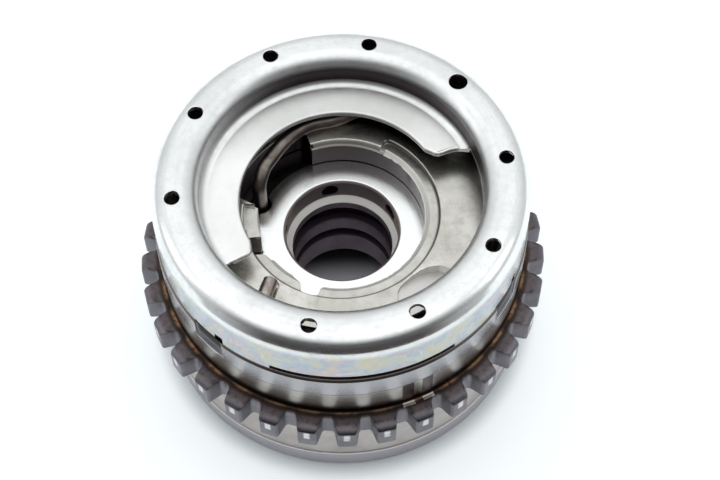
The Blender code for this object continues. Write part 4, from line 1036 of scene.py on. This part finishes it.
# %% [markdown]
# The pocket's floor slopes, so its cutter is an ordinary raised outline whose lower face is
# moved: each of its vertices goes down by an amount that grows along the pocket.

# %% Kidney pocket
pocket = sharp(arc(33.4, -63.4, -37.0, 24))
for radius, degrees in ((29.8, -33.6), (27.6, -34.6), (25.6, -38.9), (24.7, -43.4),
                        (24.4, -50.6), (24.8, -57.5), (25.8, -61.2), (28.0, -63.2)):
    pocket.append((*polar(radius, degrees), 2.0))
kidney = raise_up("cut_kidney", rounded(pocket), COVER_TOP - 1.0, COVER_TOP + 2.0)
for v in kidney.data.vertices:
    if v.co.z < COVER_TOP * MM:
        share = (math.degrees(math.atan2(v.co.y, v.co.x)) + 63.0) / 29.0
        v.co.z = (COVER_TOP - 0.6 - 2.6 * share) * MM
combine(cover, [kidney])
soften(cover, 0.14, 2, 40.0)
cover.data.materials.append(sinter)
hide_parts("front_cover")
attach(cover, "housing")
print("cover:", triangles(cover), "triangles")

# %% [markdown]
# ## Housing and sprocket
#
# Drum and sprocket are one piece. The blank is turned. Then one gap between two teeth is drawn,
# copied thirty-two times round the axis, each copy with its own mesh, and all are cut out.

# %% Housing
tooth_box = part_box("sprocket_housing")
TIP_R = min(abs(side) for corner in tooth_box for side in (corner[0], corner[1])) / MM - 0.02
ROOT_R, DRUM_R, LOW_DRUM_R, WEB_R, FILLET = 46.05, 44.5, 45.6, 28.2, 0.8
TOOTH_LOW, TOOTH_TOP = 20.8, 28.6
section = [(WEB_R, DRUM_LOW), (LOW_DRUM_R, DRUM_LOW), (LOW_DRUM_R, TOOTH_LOW - 0.5),
           (LOW_DRUM_R + 0.2, TOOTH_LOW), (TIP_R, TOOTH_LOW), (TIP_R, TOOTH_TOP - 1.5),
           (TIP_R - 0.12, TOOTH_TOP - 1.15), (TIP_R - 0.5, TOOTH_TOP - 0.75),
           (TIP_R - 1.2, TOOTH_TOP - 0.3), (TIP_R - 2.2, TOOTH_TOP)]
section += arc(FILLET, 270.0, 180.0, 5, (DRUM_R + FILLET, TOOTH_TOP + FILLET))
section += [(DRUM_R, DRUM_TOP - 0.2), (DRUM_R - 0.2, DRUM_TOP), (WEB_R, DRUM_TOP)]
housing = turn("housing_drum", section, TEETH * 9)

GAP_ROOT, GAP_TIP, TIP_ROUND = 1.35, 2.55, 1.0
PAST = GAP_TIP + 2.0 * TIP_ROUND
half = [(ROOT_R, GAP_ROOT, 1.15), (TIP_R + 0.03, GAP_TIP, TIP_ROUND),
        (TIP_R + 0.03, PAST, 0.0), (TIP_R + 1.0, PAST, 0.0)]
outline = rounded(half[::-1] + [(radius, -across, bend) for radius, across, bend in half], 8)
one_gap = raise_up("cut_gap", outline, TOOTH_LOW - 0.4, TOOTH_TOP + 2.0)
gaps = []
for number in range(TEETH):
    gap_tool = one_gap.copy()
    gap_tool.data = one_gap.data.copy()
    bpy.context.scene.collection.objects.link(gap_tool)
    angle = math.radians(TOOTH_AT + 360.0 / TEETH * (number + 0.5))
    gap_tool.data.transform(Matrix.Rotation(angle, 4, "Z"))
    gaps.append(gap_tool)
bpy.data.objects.remove(one_gap, do_unlink=True)
bpy.ops.object.select_all(action="DESELECT")
for gap_tool in gaps:
    gap_tool.select_set(True)
bpy.context.view_layer.objects.active = gaps[0]
bpy.ops.object.join()
combine(housing, [gaps[0]])

# %% [markdown]
# Inside the drum five webs reach in to the rotor's hub. Between them are the oil chambers that
# the vanes sweep. They are hidden here, but a section through the part would show them.

# %% Chambers
WEBS = [146.8 + 72.0 * number for number in range(5)]
CHAMBER_R, SCREW_RING, SCREW_HOLE_R, SEAL_HALF = 39.0, 35.2, 3.3, 1.15
chambers = []
for web in WEBS:
    a, b = web + 11.0, web + 61.0
    corners = [(*polar(26.0, a), 0.0), (*polar(CHAMBER_R, a), 1.2)]
    corners += sharp(arc(CHAMBER_R, a + 3.0, b - 3.0, 24))
    corners += [(*polar(CHAMBER_R, b), 1.2), (*polar(26.0, b), 0.0)]
    chambers.append(raise_up("cut_chamber", rounded(corners), DRUM_LOW - 2.0, DRUM_TOP + 2.0))
    seal_slot = slab(27.0, 31.4, SEAL_HALF, web)
    chambers.append(raise_up("cut_seal", seal_slot, DRUM_LOW - 2.0, DRUM_TOP + 2.0))
    spot = polar(SCREW_RING, web)
    chambers.append(drill("cut_screw", SCREW_HOLE_R, DRUM_LOW - 2.0, DRUM_TOP + 2.0, spot))
combine(housing, chambers)
soften(housing, 0.22, 2, 42.0)
housing.data.materials.append(steel)
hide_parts("sprocket_housing")
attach(housing, "housing")
print("housing:", triangles(housing), "triangles")

# %% [markdown]
# ## Rear cover and its screws
#
# The rear disc is the side towards the engine. Five socket screws sit in its pockets, and run
# through the webs into the front cover.

# %% Rear cover
REAR_R, REAR_OPENING = 45.9, 19.0
section = [(REAR_OPENING + 0.8, 0.0), (REAR_R - 1.0, 0.0), (REAR_R, 1.0),
           (REAR_R, REAR_TOP + 0.24), (REAR_OPENING, REAR_TOP + 0.24), (REAR_OPENING, 0.8)]
rear = turn("rear_disc", section, 300)
tools = []
for web in WEBS:
    spot = polar(SCREW_RING, web)
    tools.append(drill("cut_head", 5.4, -2.0, 4.0, spot, 48))
    tools.append(drill("cut_screw", SCREW_HOLE_R, 2.0, REAR_TOP + 2.0, spot))
combine(rear, tools)
soften(rear, 0.18, 2, 40.0)
rear.data.materials.append(sinter)
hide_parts("rear_cover")
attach(rear, "housing")

# %% [markdown]
# A socket screw is turned from bar: a head, a shank and a point. Its socket is a hexagon, so its
# cutter is a round one with six sides, as wide as the key across its corners.

# %% Cover screws
HEAD_LOW, HEAD_TOP, SCREW_END = 0.25, 3.75, 43.5
HEAD_R, SHANK_R = 5.0, 3.0
section = [(0.0, HEAD_LOW), (HEAD_R - 0.3, HEAD_LOW), (HEAD_R, HEAD_LOW + 0.3), (HEAD_R, HEAD_TOP)]
section += [(SHANK_R, HEAD_TOP), (SHANK_R, SCREW_END - 0.8), (SHANK_R - 0.8, SCREW_END),
            (0.0, SCREW_END)]
for number, web in enumerate(WEBS):
    at = polar(SCREW_RING, web)
    screw = turn(f"screw_{number + 1}", section, 48, at)
    key = drill("cut_key", 2.5 / math.cos(math.pi / 6.0), HEAD_LOW - 1.0, HEAD_LOW + 2.0, at, 6)
    combine(screw, [key])
    soften(screw, 0.12, 2, 40.0)
    screw.data.materials.append(bright)
    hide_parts(f"cover_screw_{number + 1}")
    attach(screw, "housing")

# %% [markdown]
# ## The rotor
#
# The hub is turned, with two oil grooves in its bore, and five vanes stand on it. One vane is
# wider than the others, since the lock pin runs through it. Round holes take the spring's foot
# and the oil ports.

# %% Rotor
BORE, HUB_R, MOUTH_R, GROOVE_R = 12.35, 27.5, 13.8, 14.0
section = [(BORE, ROTOR_LOW + 0.4), (BORE + 0.4, ROTOR_LOW), (HUB_R, ROTOR_LOW), (HUB_R, ROTOR_TOP),
           (MOUTH_R + 0.6, ROTOR_TOP), (MOUTH_R, ROTOR_TOP - 0.6), (MOUTH_R, ROTOR_TOP - 6.0),
           (BORE, ROTOR_TOP - 7.35)]
for top, bottom in ((ROTOR_TOP - 10.0, ROTOR_TOP - 15.0), (ROTOR_TOP - 20.0, ROTOR_TOP - 23.0)):
    section += [(BORE, top + 0.3), (BORE + 0.3, top), (GROOVE_R, top),
                (GROOVE_R, bottom), (BORE + 0.3, bottom), (BORE, bottom - 0.3)]
rotor = turn("rotor_hub", section, 200)
VANE_TIP, VANE_ROOT, WIDE_VANE = 38.3, 25.0, 3
vanes, tools = [], []
for number, web in enumerate(WEBS):
    width = 29.0 if number == WIDE_VANE else 14.0
    a = web - 40.5
    b = a + width
    corners = sharp([polar(VANE_ROOT, a), polar(VANE_ROOT, b)]) + [(*polar(VANE_TIP, b), 1.6)]
    corners += sharp(arc(VANE_TIP, b - 2.9, a + 2.9, 10)) + [(*polar(VANE_TIP, a), 1.6)]
    vanes.append(raise_up("vane", rounded(corners), ROTOR_LOW, ROTOR_TOP))
    seal_at = b - 3.3 if number == WIDE_VANE else (a + b) / 2.0
    seal_slot = slab(35.1, 40.0, SEAL_HALF, seal_at)
    tools.append(raise_up("cut_seal", seal_slot, ROTOR_LOW - 2.0, ROTOR_TOP + 2.0))
    for port_at, level, reach in ((a - 4.9, ROTOR_TOP - 3.5, 11.8),
                                  (b + 4.9, ROTOR_TOP - 12.5, 12.0)):
        port = drill("cut_port", 2.15, 0.0, 30.0 - reach, (0.0, 0.0), 24)
        heading = Matrix.Rotation(math.radians(port_at), 4, "Z")
        outwards = Matrix.Translation((reach * MM, 0.0, level * MM))
        port.data.transform(heading @ outwards @ Matrix.Rotation(math.pi / 2.0, 4, "Y"))
        tools.append(port)
combine(rotor, vanes, "UNION")
FOOT_R, FOOT_AT = 21.4, 158.0
tools.append(drill("cut_foot", 2.7, ROTOR_TOP - 8.5, ROTOR_TOP + 2.0, polar(FOOT_R, FOOT_AT), 40))
tools.append(drill("cut_pin", 2.3, ROTOR_LOW - 2.0, ROTOR_LOW + 4.8, polar(15.6, WEBS[0]), 32))
low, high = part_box("lock_sleeve")
lock_at = ((low[0] + high[0]) / 2.0 / MM, (low[1] + high[1]) / 2.0 / MM)
lock_r = (high[0] - low[0]) / 2.0 / MM + 0.3
tools.append(drill("cut_lock", lock_r, ROTOR_LOW - 2.0, ROTOR_TOP + 2.0, lock_at, 40))
combine(rotor, tools)
soften(rotor, 0.14, 2, 42.0)
rotor.data.materials.append(ground)
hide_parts("rotor")
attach(rotor, "rotor")
print("rotor:", triangles(rotor), "triangles")


# %% [markdown]
# ## The return spring
#
# One round wire, 3.5 mm thick, starts as a straight tang in the cover's groove, bends into a
# turn that lies on the cover, climbs over the tang into a smaller turn, and ends in an arm that
# curves in under the cap's ledge and dips into the rotor.

# %% Spring path
def ease(share):
    share = min(max(share, 0.0), 1.0)
    return share * share * (3.0 - 2.0 * share)


def bend(points, share):
    """A spot on the smooth bend that its control points pull into shape."""
    while len(points) > 1:
        points = [a * (1.0 - share) + b * share for a, b in zip(points, points[1:])]
    return tuple(points[0])


OUT_COIL, IN_COIL, ARM_R = 41.05, 36.85, 25.2
REST_Z = COVER_TOP + WIRE_R + 0.1  # the wire's axis where it lies on the cover
RISE = 4.3  # how far the upper turn climbs
TANG_LENGTH, TANG_SINK, PULL = 11, 0.95, 3.3
LEAVE = 408.0  # where the arm leaves the upper turn
path = []
for along in range(TANG_LENGTH + 1):
    x, y = tang_start + tang_way * along
    path.append((x, y, REST_Z - TANG_SINK * (1.0 - ease((along - 7.0) / 4.0))))
join = TANG_AT + 17.0
last, goal = tang_start + tang_way * TANG_LENGTH, Vector(polar(OUT_COIL, join))
pulled = [last, last + tang_way * PULL, goal - Vector(polar(PULL, join + 90.0)), goal]
for step in range(1, 12):
    path.append((*bend(pulled, step / 12.0), REST_Z))
angle = join
while angle < LEAVE:
    share = ease((angle - 70.0) / (TANG_AT + 348.0 - 70.0))
    fall = ease((angle - (TANG_AT + 378.0)) / (LEAVE - TANG_AT - 378.0))
    x, y = polar(OUT_COIL + (IN_COIL - OUT_COIL) * share, angle)
    path.append((x, y, REST_Z + RISE * share * (1.0 - fall)))
    angle += 3.0
for step in range(1, 34):
    t = step / 33.0
    radius = IN_COIL + (ARM_R - IN_COIL) * ease(t * 2.0)
    radius += (FOOT_R + 0.6 - ARM_R) * ease((t - 0.55) / 0.45)
    x, y = polar(radius, LEAVE + (FOOT_AT + 348.0 - LEAVE) * t)
    path.append((x, y, REST_Z))
x, y = polar(FOOT_R, FOOT_AT)
pulled = [Vector(path[-1]), Vector((x, y, REST_Z)), Vector((x, y, REST_Z - 3.6))]
for step in range(1, 11):
    path.append(bend(pulled, step / 10.0))
path.append((x, y, ROTOR_TOP - 7.0))

# %% [markdown]
# The curve gets the wire's thickness as a round bevel and is turned into a mesh.

# %% Spring
curve = bpy.data.curves.new("spring_wire", "CURVE")
curve.dimensions = "3D"
curve.bevel_depth = WIRE_R * MM
curve.bevel_resolution = 6
curve.use_fill_caps = True
line = curve.splines.new("POLY")
line.points.add(len(path) - 1)
for point, (x, y, z) in zip(line.points, path):
    point.co = (x * MM, y * MM, z * MM, 1.0)
spring = bpy.data.objects.new("spring_wire", curve)
bpy.context.scene.collection.objects.link(spring)
only(spring)
bpy.ops.object.convert(target="MESH")
spring = bpy.context.object
only(spring)
bpy.ops.object.mode_set(mode="EDIT")
close_mesh()
soften(spring, 0.3, 3, 60.0)
spring.data.materials.clear()
spring.data.materials.append(oiled)
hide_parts("return_spring")
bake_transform(spring)
print("spring:", triangles(spring), "triangles, UV maps:", len(spring.data.uv_layers))

# %% [markdown]
# ## What stays from the mechanical model
#
# Seals, leaf springs, dowels and the lock's pieces are inside. Their solids are right as they
# are, and only take a finish.

# %% Finishes for the inner pieces
for name, node in nodes.items():
    if node.hide_render:
        continue
    look = bright
    if "seal" in name and "spring" not in name or name == "lock_plug":
        look = seal_plastic
    if name == "lock_spring":
        look = oiled
    node.data.materials.clear()
    node.data.materials.append(look)
